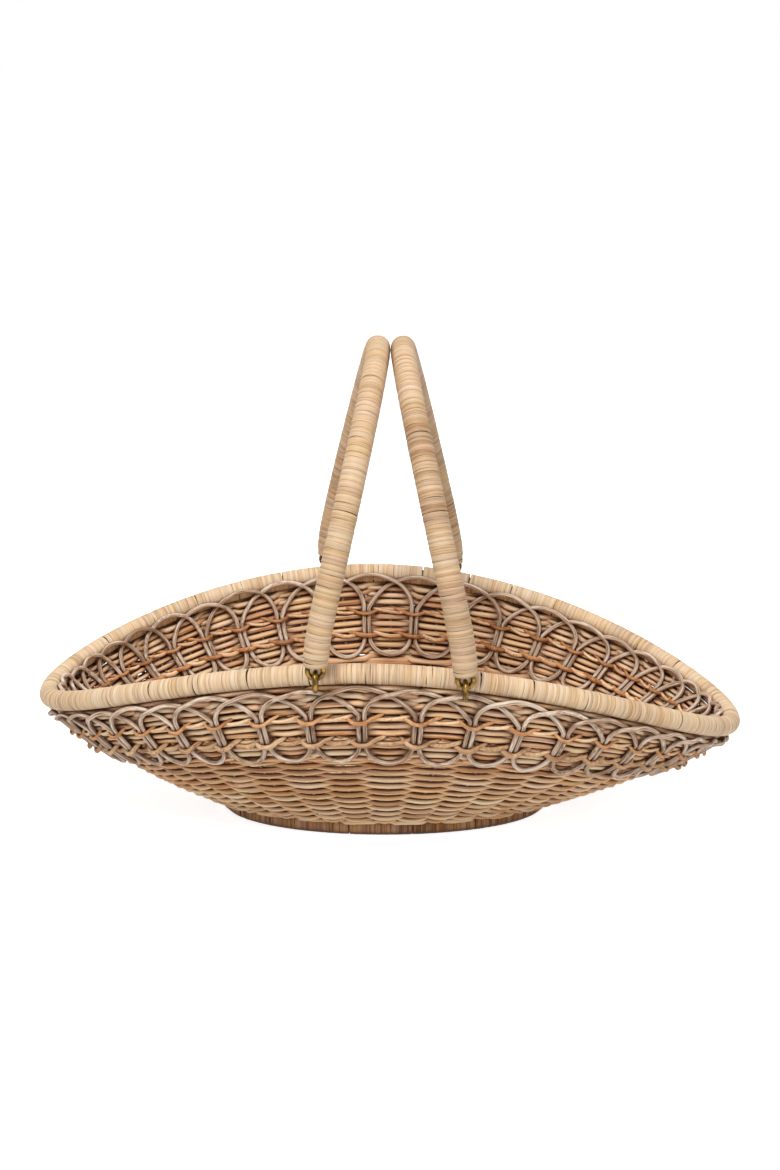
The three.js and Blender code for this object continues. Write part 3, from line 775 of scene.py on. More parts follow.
# Columns: the lengths of two of a row's three rods, and how far before its place a rod begins and ends
ROD_COLUMNS = (12, 14)
ROD_START, ROD_END = 0.92, 0.08
# Thickness of a rod at its thick and its thin end, and from the thinnest rod to the thickest
LOWER_TAPER, LOWER_SPREAD = (1.05, 0.94), (0.94, 1.06)
UPPER_TAPER, UPPER_SPREAD = (1.06, 0.92), (0.92, 1.08)


def row_columns(rng):
    """Where the points of each rod of one row lie, counted in columns."""
    columns = shape().columns
    at = 2 * rng.integers(0, columns // 2)
    for length in rng.permutation([*ROD_COLUMNS, columns - sum(ROD_COLUMNS)]):
        begin, finish = at - ROD_START, at + length - ROD_END
        yield np.linspace(begin, finish, int(round((finish - begin) * weave().steps)) + 1)
        at += length


def plain_rows(rng, rows, low, high):
    """Rods of a plain weave round the wall, outside one stake and inside the next."""
    s, w = shape(), weave()
    tuck_length, tuck_depth = 0.5, 0.001
    between, outside = 0.86, 0.14
    rods = []
    for row in range(rows):
        for column in row_columns(rng):
            n = len(column)
            part = (row + 0.5 + wander(rng, n, 0.09)) / rows
            swing = eased(np.cos(np.pi * (column - 0.5 + row)), 0.75)
            height = even_heights(column, low, high, part) + w.lower_lift * swing / s.wall_run
            to_end = np.minimum(column - column[0], column[-1] - column)
            tuck = np.clip(1 - to_end / tuck_length, 0, 1)
            offset = w.lower_depth * swing * (1 + wander(rng, n, 0.06)) - tuck * tuck_depth
            taper = np.linspace(*LOWER_TAPER, n) * (1 + wander(rng, n, 0.025, 9))
            taper *= between + outside * np.abs(swing) + w.end_swelling * endness(column)
            shade = shade_of(rng, 0.22)
            thick = taper * rng.uniform(*LOWER_SPREAD)
            rods.append(Rod(wall_point(column, height, offset), thick, shade))
    return rods


def paired_rows(rng, rows, low, high, depth, pale=0.0, thin_ends=0.0):
    """Pairs of rods round the wall. Each pair crosses between the stakes, behind the double uprights."""
    s, w = shape(), weave()
    pass_by, swelling, crossing_width = 0.0011, 0.2, 0.35
    rods = []
    for row in range(rows):
        for partner in (0, 1):
            for column in row_columns(rng):
                n = len(column)
                angle = np.pi * (column - 0.5 + partner)
                across, along = np.cos(angle), np.sin(angle)
                rise = (w.upper_slant * along + w.upper_lift * eased(across, 0.2)) / s.wall_run
                part = (row + 0.5 + wander(rng, n, 0.06, 7)) / rows
                height = even_heights(column, low, high, part) + rise
                apart = pass_by * np.abs(along) * (1 - 2 * partner)
                offset = depth * eased(across, 0.7) * (1 + wander(rng, n, 0.05)) + apart
                taper = np.linspace(*UPPER_TAPER, n) * (1 + wander(rng, n, 0.03, 9))
                thinning = 1 - thin_ends * endness(column)
                shade = shade_of(rng, 0.24, pale)
                crossing = 1 + swelling * np.exp(-((across / crossing_width) ** 2))
                thick = taper * thinning * crossing * rng.uniform(*UPPER_SPREAD)
                rods.append(Rod(wall_point(column, height, offset), thick, shade))
    return rods


# Shares of the wall's height where a stake begins, under the floor, and ends
STAKE_FOOT, STAKE_TOP, STAKE_POINTS = -0.015, 1.0, 22


class BASKET_OT_stakes(bpy.types.Operator):
    """Put up the side stakes, from under the floor to the rim"""

    bl_idname = "basket.stakes"
    bl_label = "Side Stakes"

    def execute(self, context):
        s, w = shape(), weave()
        rng = np.random.default_rng(w.seed)
        height = np.linspace(STAKE_FOOT, STAKE_TOP, STAKE_POINTS)
        rods = []
        for k in range(s.columns):
            column = k + 0.5 + rng.normal(0, 0.012)
            points = wall_point(column, height, wander(rng, STAKE_POINTS, 0.0002))
            rods.append(Rod(points, rng.uniform(0.92, 1.08), np.clip(rng.normal(0.55, 0.2), 0, 1)))
        add_rods("side_stakes", rods, w.stake_thickness, "stake", (), w.seed)
        return {"FINISHED"}


class BASKET_OT_walls(bpy.types.Operator):
    """Weave the lower and the upper wall"""

    bl_idname = "basket.walls"
    bl_label = "Woven Walls"

    def execute(self, context):
        w = weave()
        rng = np.random.default_rng(w.seed + 1)
        lower = paired_rows(rng, 1, 0.0, w.border_share, w.lower_depth, pale=0.25)
        lower += plain_rows(rng, w.lower_rows, w.border_share, w.split_share + w.seam / 2)
        add_rods("lower_weave", lower, w.lower_thickness, "lower", ["lower_wall"],
                 w.seed, w.sides, uneven=0.10, bump=0.02)
        upper = paired_rows(rng, w.upper_rows, w.split_share - w.seam / 2, 1.0, w.upper_depth,
                            thin_ends=w.end_thinning)
        add_rods("upper_weave", upper, w.upper_thickness, "upper", ["upper_wall"],
                 w.seed, w.sides, uneven=0.14, bump=0.02)
        return {"FINISHED"}


def floor_ring(inset, column):
    """An oval row of the floor, drawn in from the foot of the wall."""
    s = shape()
    angle = oval_angle(column)
    across = (s.wall_foot_length / 2 - inset) * np.cos(angle) + s.foot_shift
    return np.stack([across, (s.wall_foot_width / 2 - inset) * np.sin(angle)], -1)


class BASKET_OT_floor(bpy.types.Operator):
    """Weave the floor and lay the sticks under it"""

    bl_idname = "basket.floor"
    bl_label = "Woven Floor"

    def execute(self, context):
        s, w = shape(), weave()
        rng = np.random.default_rng(w.seed + 2)
        ripple, overlap, spine_points, stick_points = 0.0014, 0.0004, 80, 24
        half = s.wall_foot_width / 2
        first = w.lower_depth + (w.lower_thickness + w.floor_thickness) / 2 - overlap
        column = np.linspace(-0.9, s.columns - 0.1, s.columns * w.steps)
        rods = []
        for row in range(int((half - first) / w.floor_pitch)):
            plan = floor_ring(first + row * w.floor_pitch, column)
            depth = ripple * np.cos(np.pi * (column / 2 + row))
            points = np.concatenate([plan, (w.floor_height + depth)[:, None]], axis=1)
            rods.append(Rod(points, rng.uniform(0.93, 1.05), shade_of(rng, 0.24)))
        spine = (s.wall_foot_length / 2 - half) * np.linspace(-1, 1, spine_points) + s.foot_shift
        height = w.floor_height + ripple * np.sin(np.arange(spine_points) * 0.7)
        rods.append(Rod(np.stack([spine, np.zeros(spine_points), height], -1), 1.1, 0.4))
        add_rods("floor_weave", rods, w.floor_thickness, "lower", ["base_weave"],
                 w.seed, w.sides, uneven=0.10, bump=0.02)
        nodes = [node for node in sorted(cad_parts) if node.startswith("base_") and "stick" in node]
        sticks = []
        for node in nodes:
            low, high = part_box(node)
            long_way = 0 if "long" in node else 1
            ends = np.array([(low + high) / 2] * 2)
            ends[0][long_way], ends[1][long_way] = low[long_way], high[long_way]
            points = np.linspace(*ends, stick_points)
            sticks.append(Rod(points, 1 + wander(rng, stick_points, 0.03), rng.uniform(0.3, 0.7)))
        add_rods("floor_sticks", sticks, w.stick_thickness, "stake", nodes, w.seed)
        return {"FINISHED"}


def rejoined(values):
    """The same values, leaning so that the last is the first, for a ring."""
    return values - (values[-1] - values[0]) * np.linspace(0, 1, len(values))


def leg_offset(column, height):
    """Half the distance between the two uprights of a column, counted in columns."""
    pitch = np.linalg.norm(wall_middle(column - 0.5, height) - wall_middle(column + 0.5, height))
    return (loops().rod_thickness + loops().leg_gap) / 2 / pitch


ARCH_POINTS, LEG_POINTS, SCALLOP_POINTS = 26, 8, 16
# Shares of an arch: where it crosses over the last one, and how widely
CROSSING, CROSSING_WIDTH = 0.25, 0.13
# How much of the falling side of an arch is a straight slant, and how much is round
SLANT, ROUNDNESS = 0.6, 0.4


def loop_turn(column, reach, rng):
    """Columns, heights and lifts of one turn of the looped rod. The arch reaches this share of the wall."""
    p = loops()
    low = p.rod_thickness / 2
    right, next_right = (k + leg_offset(k, p.leg_top) for k in (column, column + 1))
    left = column + 2 - leg_offset(column + 2, p.leg_top)
    foot_left = column + 2 - leg_offset(column + 2, p.leg_foot)
    foot_right = column + 1 + leg_offset(column + 1, p.leg_foot)

    def upright(start, end, start_height, end_height):
        parts = np.arange(LEG_POINTS) / LEG_POINTS
        rise = end_height - start_height
        return [(start + (end - start) * part, start_height + rise * part, low) for part in parts]

    places = []
    swell = rng.normal(0, 0.006)
    for k in range(ARCH_POINTS):
        angle = math.pi * k / ARCH_POINTS
        # Steep at the start, and long and slanting at the end
        across = p.arch_peak * (1 - math.cos(angle))
        if angle > math.pi / 2:
            left_over = 2 * (1 - angle / math.pi)
            across = 1 - (1 - p.arch_peak) * (SLANT * left_over + ROUNDNESS * (1 + math.cos(angle)))
        height = p.leg_top + (reach + swell - p.leg_top) * math.sin(angle)
        over = math.exp(-(((across - CROSSING) / CROSSING_WIDTH) ** 2))
        places.append((right + (left - right) * across, height, low + p.rod_thickness * over))
    places += upright(left, foot_left, p.leg_top, p.leg_foot)
    dip = rng.normal(0, 0.005)
    for k in range(SCALLOP_POINTS):
        angle = math.pi * k / SCALLOP_POINTS
        across = (1 - math.cos(angle)) / 2
        height = p.leg_foot + (p.scallop + dip - p.leg_foot) * math.sin(angle)
        places.append((foot_left + (foot_right - foot_left) * across, height, low))
    return places + upright(foot_right, next_right, p.leg_foot, p.leg_top)


class BASKET_OT_loops(bpy.types.Operator):
    """Loop the rods over both faces of the wall"""

    bl_idname = "basket.loops"
    bl_label = "Looped Rods"

    def execute(self, context):
        s, p = shape(), loops()
        rng = np.random.default_rng(p.seed)
        sharpness = 8
        for name, face, reach in (("outer", 1, p.arch_top), ("inner", -1, p.inner_arch_top)):
            places = np.concatenate([loop_turn(column, reach, rng) for column in range(s.columns)])
            places = np.concatenate([places, places[:1] + (s.columns, 0, 0)])
            column, height, lift = places.T
            n = len(places)
            tones = np.clip(rng.normal(0.5, 0.25, s.columns), 0, 1)
            shade = np.interp(np.arange(n) / (n / s.columns), np.arange(s.columns + 1), [*tones, tones[0]])
            # The arches lean out round the rim's binding.
            clear = s.rim_thickness / 2 + p.rod_thickness / 2
            under = s.rim_thickness / 2 + s.clearance + (1 - height) * s.wall_run
            beside_rim = np.sqrt(np.maximum(clear ** 2 - under ** 2, 0))
            stand_off = p.face_height + lift
            offset = face * (stand_off ** sharpness + beside_rim ** sharpness) ** (1 / sharpness)
            points = wall_point(column + rejoined(wander(rng, n, 0.008, 14)), height, offset)
            rod = Rod(points, 1 + rejoined(wander(rng, n, 0.03, 12)), shade)
            add_rods(f"{name}_looped_rod", [rod], p.rod_thickness, "loop", [f"{name}_loops"],
                     p.seed, sides=10)
        return {"FINISHED"}


# Columns from an upright and how far above its lowest place a strand is there, in millimetres
STRANDS = {
    "over_legs": (
        (-0.28, 5.5), (-0.16, 2.2), (-0.03, 0.0), (0.14, 0.7), (0.30, 3.8), (0.46, 7.6), (0.72, 5.5),
    ),
    "mid_cell": ((-0.30, 2.0), (-0.12, 0.6), (0.05, 1.4), (0.22, 3.6), (0.38, 6.2), (0.70, 2.0)),
    "rope": ((-0.30, 2.6), (-0.16, 0.6), (-0.02, 0.0), (0.14, 1.3), (0.30, 4.0), (0.40, 5.2), (0.70, 2.6)),
}
# How far a strand lies inside the face of the loops, how much farther out it comes in front, how much
# farther still over the legs, and how far all knots are moved down
STRAND_INSET, STRAND_RISE, LEG_RISE, KNOT_DROP = 0.0038, 0.0028, 0.001, 0.003
# Columns: how much more than its knots a strand shows, how soon it dips behind, and the width of the legs
SHOWN_MORE, DIP, LEG_WIDTH = 0.03, 0.13, 0.19
# Thickness of a strand between front and back, and how much thicker it is in front
STRAND_MIDDLE, STRAND_SWELLING = 0.85, 0.15


def twine_strand(face, height, kind, phase, thickness, lift, rng):
    """One strand of a pair, in front of the double uprights or, half a column on, of the stakes."""
    s, p = shape(), loops()
    per_column, softness = 24, 5
    n = s.columns * per_column + 1
    place = np.linspace(0, s.columns, n) - phase
    knots, rises = np.array(STRANDS[kind]).T
    near = (place - knots[0]) % 1 + knots[0]
    climb = np.interp(near, knots, rises) * 0.001
    soft = np.hanning(2 * softness + 1)
    climb = np.convolve(np.pad(climb, softness, mode="wrap"), soft / soft.sum(), "valid")[:n]
    middle = (knots[0] + knots[-2]) / 2
    reach = (knots[-2] - knots[0]) / 2 + SHOWN_MORE
    outside = np.clip((reach - np.abs((near - middle + 0.5) % 1 - 0.5)) / DIP, -1, 1)
    outside = np.sin(outside * np.pi / 2)
    over_legs = np.exp(-((((near + 0.5) % 1 - 0.5) / LEG_WIDTH) ** 4))
    offset = p.face_height - STRAND_INSET + (STRAND_RISE + thickness / 2) * outside
    offset += (lift + LEG_RISE) * over_legs
    sway = rejoined(wander(rng, n, 0.0005, per_column // 2))
    column = place + phase + rejoined(wander(rng, n, 0.012, per_column // 2))
    points = wall_point(column, height + (climb + sway - KNOT_DROP) / s.wall_run, face * offset)
    return points, STRAND_MIDDLE + STRAND_SWELLING * outside


class BASKET_OT_twine(bpy.types.Operator):
    """Tie the loops down with two pairs of twine on each face"""

    bl_idname = "basket.twine"
    bl_label = "Twine"

    def execute(self, context):
        p = loops()
        rng = np.random.default_rng(p.seed + 1)
        levels = (
            ("upper", p.upper_twine, p.upper_strand, ("rust", "upper"), ("over_legs", "mid_cell")),
            ("lower", p.lower_twine, p.lower_strand, ("straw", "straw"), ("rope", "rope")),
        )
        for name, face in (("outer", 1), ("inner", -1)):
            for level, height, thickness, finishes, kinds in levels:
                if face < 0:
                    finishes = ("rust", "upper")
                strands = zip("ab", finishes, kinds, (0.0, 0.5), (p.rod_thickness, 0.0))
                for part, finish, kind, phase, lift in strands:
                    points, thinning = twine_strand(face, height, kind, phase, thickness, lift, rng)
                    n = len(points)
                    shade = np.clip(0.4 + 0.1 * face + wander(rng, n, 0.2, 22), 0, 1)
                    rod = Rod(points, thinning * (1 + wander(rng, n, 0.05, 12)), shade)
                    nodes = [f"{name}_{level}_twine"] if part == "a" else ()
                    add_rods(f"{name}_{level}_twine_{part}", [rod], thickness, finish,
                             nodes, p.seed, uneven=0.08, bump=0.02)
        return {"FINISHED"}


class Path:
    """A fine line that is read by the length along it."""

    def __init__(self, points, closed):
        self.closed = closed
        self.points = np.concatenate([points, points[:1]]) if closed else points
        steps = np.linalg.norm(np.diff(self.points, axis=0), axis=1)
        self.along = np.concatenate([[0], np.cumsum(steps)])
        self.length = self.along[-1]

    def read(self, where, values=None):
        """The point at a length, or the like of other values that go with the points."""
        values = self.points if values is None else values
        where = where % self.length if self.closed else where
        return np.stack([np.interp(where, self.along, values[:, k]) for k in range(3)], -1)

    def direction(self, where, step=0.002):
        return unit(self.read(where + step) - self.read(where - step))


def tilted(axis, face, angle):
    """An axis turned a little towards its face."""
    return unit(axis * np.cos(angle) + face * np.sin(angle))


# Ranges beside an open seam: its distance from the last one, the lean of its two turns and how far it opens
SEAM_DISTANCE, SEAM_LEAN, SEAM_OPENING = (0.85, 1.15), (0.03, 0.07), (0.5, 1.0)


def spread_turns(rng, length, width, uneven, gap_every, gap=0.2):
    """Places, widths and leans of turns along a length, with an open seam now and then."""
    places, at, seam = [], 0.0, 0.0
    while at < length:
        this = width * (1 + rng.normal(0, uneven))
        places.append([at + this / 2, this, 0.0])
        at += this
        seam += this
        if seam > gap_every * rng.uniform(*SEAM_DISTANCE):
            lean = rng.choice([-1, 1]) * rng.uniform(*SEAM_LEAN)
            places[-1][2] = lean
            at += this * gap * rng.uniform(*SEAM_OPENING)
            seam = 0.0
            places.append([at + this / 2, this, -lean])
            at += this
    places = np.array(places)
    places[:, :2] *= length / at
    return places


def drifting_tones(rng, turns, spread):
    """Tones of the turns: long stretches of like peel with small changes from turn to turn."""
    from_turn_to_turn = 0.45 * spread
    return within(0.5 + wander(rng, turns, spread, 5) + rng.normal(0, from_turn_to_turn, turns))


def wound(path, turns, tones, width, facing, overlap):
    """Places of the turns along a path. `facing` tilts a turn's axis and gives its face and size across."""
    places = []
    for (at, this, lean), tone in zip(turns, tones):
        axis, face, across = facing(path.direction(at), at, lean)
        places.append((path.read(at), axis, face, (*across, this / width * overlap), tone))
    return places


class BASKET_OT_rim(bpy.types.Operator):
    """Wind the peel round the rim"""

    bl_idname = "basket.rim"
    bl_label = "Bound Rim"

    def execute(self, context):
        s, p = shape(), peel()
        rng = np.random.default_rng(p.seed)
        angles = np.linspace(0, 2 * np.pi, 2000, endpoint=False)
        path = Path(rim_centre(angles), True)
        climbs = np.concatenate([wall_climb(angles), wall_climb(angles[:1])])
        turns = spread_turns(rng, path.length, p.rim_width, uneven=0.18, gap_every=p.gap_every)
        tones = drifting_tones(rng, len(turns), 0.17)
        slant = 0.03

        def facing(axis, at, lean):
            up = path.read(at, climbs)
            axis = tilted(axis, unit(np.cross(axis, up)), slant + rng.normal(0, 0.012))
            axis = tilted(axis, up, lean + rng.normal(0, 0.010))
            return axis, -up, [1 + rng.normal(0, 0.005)] * 2

        places = wound(path, turns, tones, p.rim_width, facing, overlap=1.02)
        add_turns("rim_binding", places, round_turn(s.rim_thickness, p.rim_width, 26), "rim",
                  "basket", "rim_wrap")
        return {"FINISHED"}


def foot_outline(inset):
    """Section of the foot ring, across and up, with its corners cut."""
    s = shape()
    top_cut, cut = 0.001, 0.003
    half, top = s.foot_thickness / 2 - inset, s.foot_height - inset * 0.3
    return [(half, cut + inset), (half, top - top_cut), (half - top_cut, top), (-half + top_cut, top),
            (-half, top - top_cut), (-half, cut + inset), (-half + cut, inset), (half - cut, inset)]


class BASKET_OT_foot(bpy.types.Operator):
    """Wind the peel round the foot"""

    bl_idname = "basket.foot"
    bl_label = "Bound Foot"

    def execute(self, context):
        s, p = shape(), peel()
        rng = np.random.default_rng(p.seed + 1)
        angles = np.linspace(0, 2 * np.pi, 1200, endpoint=False)
        line = oval_point(s.foot_length - s.foot_thickness, s.foot_width - s.foot_thickness, angles)
        line[:, 0] += s.foot_shift
        path = Path(line, True)
        turns = spread_turns(rng, path.length, p.foot_width, uneven=0.16, gap_every=0.045, gap=0.12)
        tones = drifting_tones(rng, len(turns), 0.22)

        def facing(axis, at, lean):
            side = np.array([-axis[1], axis[0], 0.0])
            axis = tilted(axis, np.array([0, 0, 1.0]), lean * 0.6 + rng.normal(0, 0.012))
            return axis, side, (1 + rng.normal(0, 0.01), 1)

        places = wound(path, turns, tones, p.foot_width, facing, overlap=1.01)
        ring = turn_object(foot_outline(p.thickness), p.foot_width, p.thickness)
        add_turns("foot_binding", places, ring, "foot", "basket", "foot_wrap")
        return {"FINISHED"}


def hinge_height(side):
    h = handle()
    rise = h.left_rise if side < 0 else h.right_rise
    return float(rim_height(np.array(side * h.leg_reach))) + rise


def bend(value, soft):
    """0 below nothing and the value above it, with a soft bend between."""
    return (value + np.hypot(value, soft)) / 2


def hoop_point(side, angle):
    """Middle line of a hoop. The angle runs from the front leg over to the back leg."""
    h = handle()
    height = h.left_height if side < 0 else h.right_height
    up = height * np.sin(angle)
    inward = h.leg_reach - (h.leg_thickness + shape().clearance) / 2
    start = bend(-h.lean_start, h.lean_bend)
    run = bend(up - h.lean_start, h.lean_bend) - start
    lean = inward * run / (bend(height - h.lean_start, h.lean_bend) - start)
    x = side * h.leg_reach - side * lean
    return np.stack([x, -h.leg_span / 2 * np.cos(angle), up + hinge_height(side)], -1)


def upper_side(axis):
    """The direction that is square to an axis and nearest to the basket's long way."""
    return unit(np.cross(axis, np.cross(np.array([1.0, 0, 0]), axis)))


class BASKET_OT_handles(bpy.types.Operator):
    """Wind the peel round the two hoops"""

    bl_idname = "basket.handles"
    bl_label = "Bound Handles"

    def execute(self, context):
        h, p = handle(), peel()
        for name, side, height in (("left", -1, h.left_height), ("right", 1, h.right_height)):
            rng = np.random.default_rng(p.seed + 3 + side)
            low = math.asin(h.leg_end_gap / height)
            start = math.asin((h.leg_end_gap + h.binding_height) / height)
            path = Path(hoop_point(side, np.linspace(start, math.pi - start, 1500)), False)
            turns = spread_turns(rng, path.length, p.handle_width, uneven=0.2, gap_every=0.055, gap=0.1)
            darker = 0.12 * side
            tones = within(drifting_tones(rng, len(turns), 0.2) - darker)
            slant = 0.05

            def facing(axis, at, lean):
                face = upper_side(axis)
                other = np.cross(axis, face)
                axis = tilted(axis, face, slant + lean * 0.5 + rng.normal(0, 0.010))
                axis = tilted(axis, other, rng.normal(0, 0.008))
                return axis, other, [1 + rng.normal(0, 0.005)] * 2

            places = wound(path, turns, tones, p.handle_width, facing, overlap=1.03)
            ring = round_turn(h.leg_thickness, p.handle_width)
            add_turns(f"{name}_handle_binding", places, ring, "handle",
                      f"{name}_handle", f"{name}_handle_wrap")
            for end in ("front", "back"):
                places = []
                for k, part in enumerate((0.25, 0.75)):
                    spot = low + (start - low) * part
                    angle = math.pi - spot if end == "back" else spot
                    ahead, behind = (hoop_point(side, np.array(angle + step)) for step in (0.01, -0.01))
                    axis = unit(ahead - behind)
                    face = upper_side(axis)
                    axis = tilted(axis, face, 0.06 if k else -0.04)
                    point = hoop_point(side, np.array(angle))
                    places.append((point, axis, np.cross(axis, face), (1, 1, 1), 0.85 - 0.2 * k))
                ring = round_turn(h.binding_thickness, h.binding_height / 2 * 1.04)
                add_turns(f"{name}_{end}_leg_binding", places, ring, "handle",
                          f"{name}_handle", f"{name}_{end}_binding")
        return {"FINISHED"}


# Points round an eye and round its wire, and the collar of its shank: shares of its length and thickness
EYE_STEPS, WIRE_SIDES = 40, 14
SHANK = ((0.0, 1.0), (0.06, 1.28), (0.16, 1.28), (0.22, 1.0), (1.0, 1.0))


def screw_eye(name, centre, radius, wire, side, shank_start, shank_end, material, body, node):
    """A brass ring and its shank. The ring lies in the plane of the shank and the side direction."""
    centre, side, shank_start = (np.asarray(values, float) for values in (centre, side, shank_start))
    reach = shank_end - shank_start
    way = unit(reach)
    across = np.cross(way, side)
    around = [2 * math.pi * j / WIRE_SIDES for j in range(WIRE_SIDES)]
    points = []
    for k in range(EYE_STEPS):
        angle = 2 * math.pi * k / EYE_STEPS
        out = way * math.cos(angle) + side * math.sin(angle)
        points += [centre + out * (radius + wire / 2 * math.cos(turned))
                   + across * wire / 2 * math.sin(turned) for turned in around]
    first = len(points)
    for part, swell in SHANK:
        points += [shank_start + reach * part
                   + (side * math.cos(turned) + across * math.sin(turned)) * wire / 2 * swell
                   for turned in around]
    faces = grid_faces(EYE_STEPS, WIRE_SIDES) + grid_faces(len(SHANK), WIRE_SIDES, False, first)
    faces.append(range(first, first + WIRE_SIDES)[::-1])
    faces.append(range(len(points) - WIRE_SIDES, len(points)))
    obj = plain_object(name, points, faces=faces)
    obj.data.materials.append(material)
    obj.data.shade_smooth()
    mesh = bmesh.new()
    mesh.from_mesh(obj.data)
    bmesh.ops.recalc_face_normals(mesh, faces=mesh.faces)
    mesh.to_mesh(obj.data)
    mesh.free()
    settle(obj, body, [node])


class BASKET_OT_eyes(bpy.types.Operator):
    """Screw the brass eyes into the rim and the legs"""

    bl_idname = "basket.eyes"
    bl_label = "Brass Eyes"

    def execute(self, context):
        s, h = shape(), handle()
        brass = brass_material()
        handle_radius = (h.handle_eye_width - h.eye_wire) / 2
        rim_radius = (h.rim_eye_width - h.eye_wire) / 2
        lift = handle_radius - h.eye_wire - s.clearance
        reach_share = (h.leg_reach / ((s.rim_length - s.rim_thickness) / 2)) ** s.rim_plan_power
        rim_reach = (s.rim_width - s.rim_thickness) / 2 * (1 - reach_share) ** (1 / s.rim_plan_power)
        for name, side in (("left", -1), ("right", 1)):
            x, z = side * h.leg_reach, hinge_height(side)
            for end, face in (("front", -1), ("back", 1)):
                y = face * h.leg_span / 2
                top = z + lift + handle_radius
                screw_eye(f"{name}_{end}_leg_eye", (x, y, z + lift), handle_radius, h.eye_wire, (1, 0, 0),
                          (x, y, top), (x, y, top + h.handle_eye_shank),
                          brass, f"{name}_handle", f"{name}_{end}_handle_eye")
                low = z - rim_radius
                screw_eye(f"rim_{end}_{name}_eye", (x, y, low), rim_radius, h.eye_wire, (0, 0, 1),
                          (x, y - face * rim_radius, low), (x, face * rim_reach, low),
                          brass, "basket", f"rim_eye_{end}_{name}")
        return {"FINISHED"}


class BASKET_OT_cores(bpy.types.Operator):
    """Give the rods inside the bindings their wood"""

    bl_idname = "basket.cores"
    bl_label = "Core Wood"

    def execute(self, context):
        wood = wood_material()
        for node in ("rim_core", "foot_core", "left_handle_core", "right_handle_core"):
            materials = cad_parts[node].data.materials
            materials.clear()
            materials.append(wood)
        return {"FINISHED"}


# Place, height it is aimed at, width and power of each lamp
LAMPS = {
    "key_light": ((-0.5, -1.5, 2.4), 0.12, 0.9, 54),
    "fill_light": ((1.8, -1.5, 1.2), 0.12, 1.2, 8),
    "top_light": ((0.2, 0.8, 2.4), 0.1, 1.4, 14),
}
# Strength of the room's light on the basket. The camera's rays see the room as plain white.
ROOM_LIGHT = 0.3
WHITE = (1, 1, 1, 1)


def seen_rays(tree):
    """1 for the rays of the camera, of reflections and of glass, and 0 for all others."""
    rays = add_node(tree, "ShaderNodeLightPath", {}).outputs
    seen = maths(tree, "MAXIMUM", rays["Is Camera Ray"], rays["Is Glossy Ray"])
    return maths(tree, "MAXIMUM", seen, rays["Is Transmission Ray"])


def linked(name, data, place):
    obj = bpy.data.objects.new(name, data)
    obj.location = place
    bpy.context.scene.collection.objects.link(obj)
    return obj


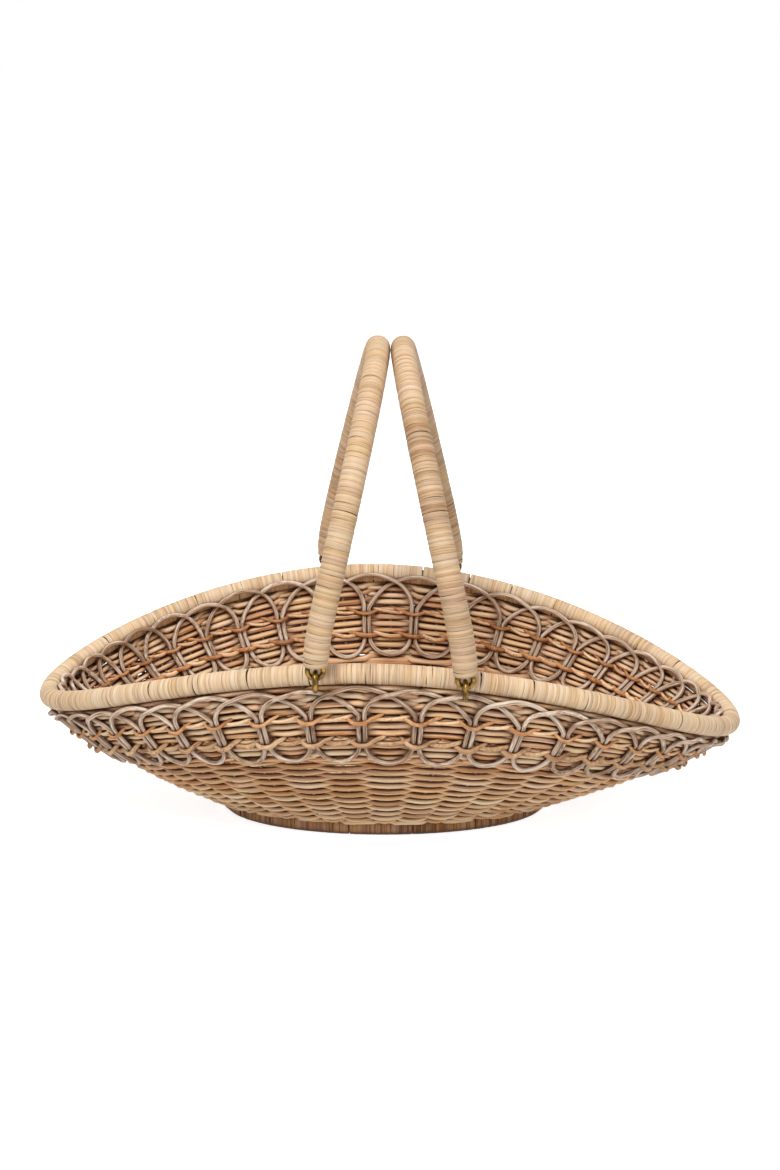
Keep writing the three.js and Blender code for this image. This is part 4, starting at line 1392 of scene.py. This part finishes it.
class BASKET_OT_stage(bpy.types.Operator):
    """Set up the floor, the lights and the camera"""

    bl_idname = "basket.stage"
    bl_label = "Stage"

    def execute(self, context):
        t = context.scene.basket_stage
        half = t.floor_size / 2
        corners = [(-half, -half, 0), (half, -half, 0), (half, half, 0), (-half, half, 0)]
        floor = plain_object("stage_floor", corners, faces=[(0, 1, 2, 3)])
        material, tree, shader = new_material("stage_white")
        fill(tree, shader, {"Base Color": (0.8, 0.8, 0.8, 1), "Roughness": 0.9, "Specular IOR Level": 0})
        if t.show_white:
            lift = maths(tree, "MULTIPLY", seen_rays(tree), t.floor_lift)
            fill(tree, shader, {"Emission Color": WHITE, "Emission Strength": lift})
        floor.data.materials.append(material)
        world = bpy.data.worlds.new("soft_room")
        world.use_nodes = True
        tree = world.node_tree
        fill(tree, tree.nodes["Background"], {
            "Color": WHITE, "Strength": mapped(tree, seen_rays(tree), 0, 1, ROOM_LIGHT, 1),
        })
        context.scene.world = world
        for name, (place, aim, width, power) in LAMPS.items():
            light = bpy.data.lights.new(name, "AREA")
            light.shape = "SQUARE"
            light.size = width
            light.energy = power
            towards = Vector((0, 0, aim)) - Vector(place)
            linked(name, light, place).rotation_euler = towards.to_track_quat("-Z", "Y").to_euler()
        camera = bpy.data.cameras.new("photo_camera")
        camera.lens = t.lens
        camera.sensor_width = 36
        camera.sensor_fit = "AUTO"
        place = (t.camera_side, -t.camera_distance, t.camera_height)
        context.scene.camera = linked("photo_camera", camera, place)
        context.scene.camera.rotation_euler = (math.pi / 2 - t.camera_pitch, 0, 0)
        context.scene.view_settings.view_transform = "Standard"
        return {"FINISHED"}


# In the order of the work
OPERATORS = (
    BASKET_OT_cores,
    BASKET_OT_stakes,
    BASKET_OT_walls,
    BASKET_OT_floor,
    BASKET_OT_loops,
    BASKET_OT_twine,
    BASKET_OT_rim,
    BASKET_OT_foot,
    BASKET_OT_handles,
    BASKET_OT_eyes,
    BASKET_OT_stage,
)

SETTINGS = {
    "basket_shape": BasketShape,
    "basket_weave": WeaveSettings,
    "basket_loops": LoopSettings,
    "basket_peel": PeelSettings,
    "basket_handles": HandleSettings,
    "basket_colours": ColourSettings,
    "basket_stage": StageSettings,
}


class BASKET_PT_panel(bpy.types.Panel):
    """Settings and steps of the gathering basket"""

    bl_idname = "BASKET_PT_panel"
    bl_label = "Gathering Basket"
    bl_space_type = "VIEW_3D"
    bl_region_type = "UI"
    bl_category = "Basket"

    def draw(self, context):
        for name, group in SETTINGS.items():
            box = self.layout.box()
            box.label(text=group.__doc__)
            for key in group.__annotations__:
                box.prop(getattr(context.scene, name), key)
        for operator in OPERATORS:
            self.layout.operator(operator.bl_idname)


def register():
    for group in SETTINGS.values():
        bpy.utils.register_class(group)
    for operator in OPERATORS:
        bpy.utils.register_class(operator)
    bpy.utils.register_class(BASKET_PT_panel)
    for name, group in SETTINGS.items():
        setattr(bpy.types.Scene, name, PointerProperty(type=group))


def unregister():
    for name in SETTINGS:
        delattr(bpy.types.Scene, name)
    bpy.utils.unregister_class(BASKET_PT_panel)
    for operator in reversed(OPERATORS):
        bpy.utils.unregister_class(operator)
    for group in reversed(list(SETTINGS.values())):
        bpy.utils.unregister_class(group)


def main():
    register()
    for operator in OPERATORS:
        group, name = operator.bl_idname.split(".")
        getattr(getattr(bpy.ops, group), name)()


if __name__ == "__main__":
    main()
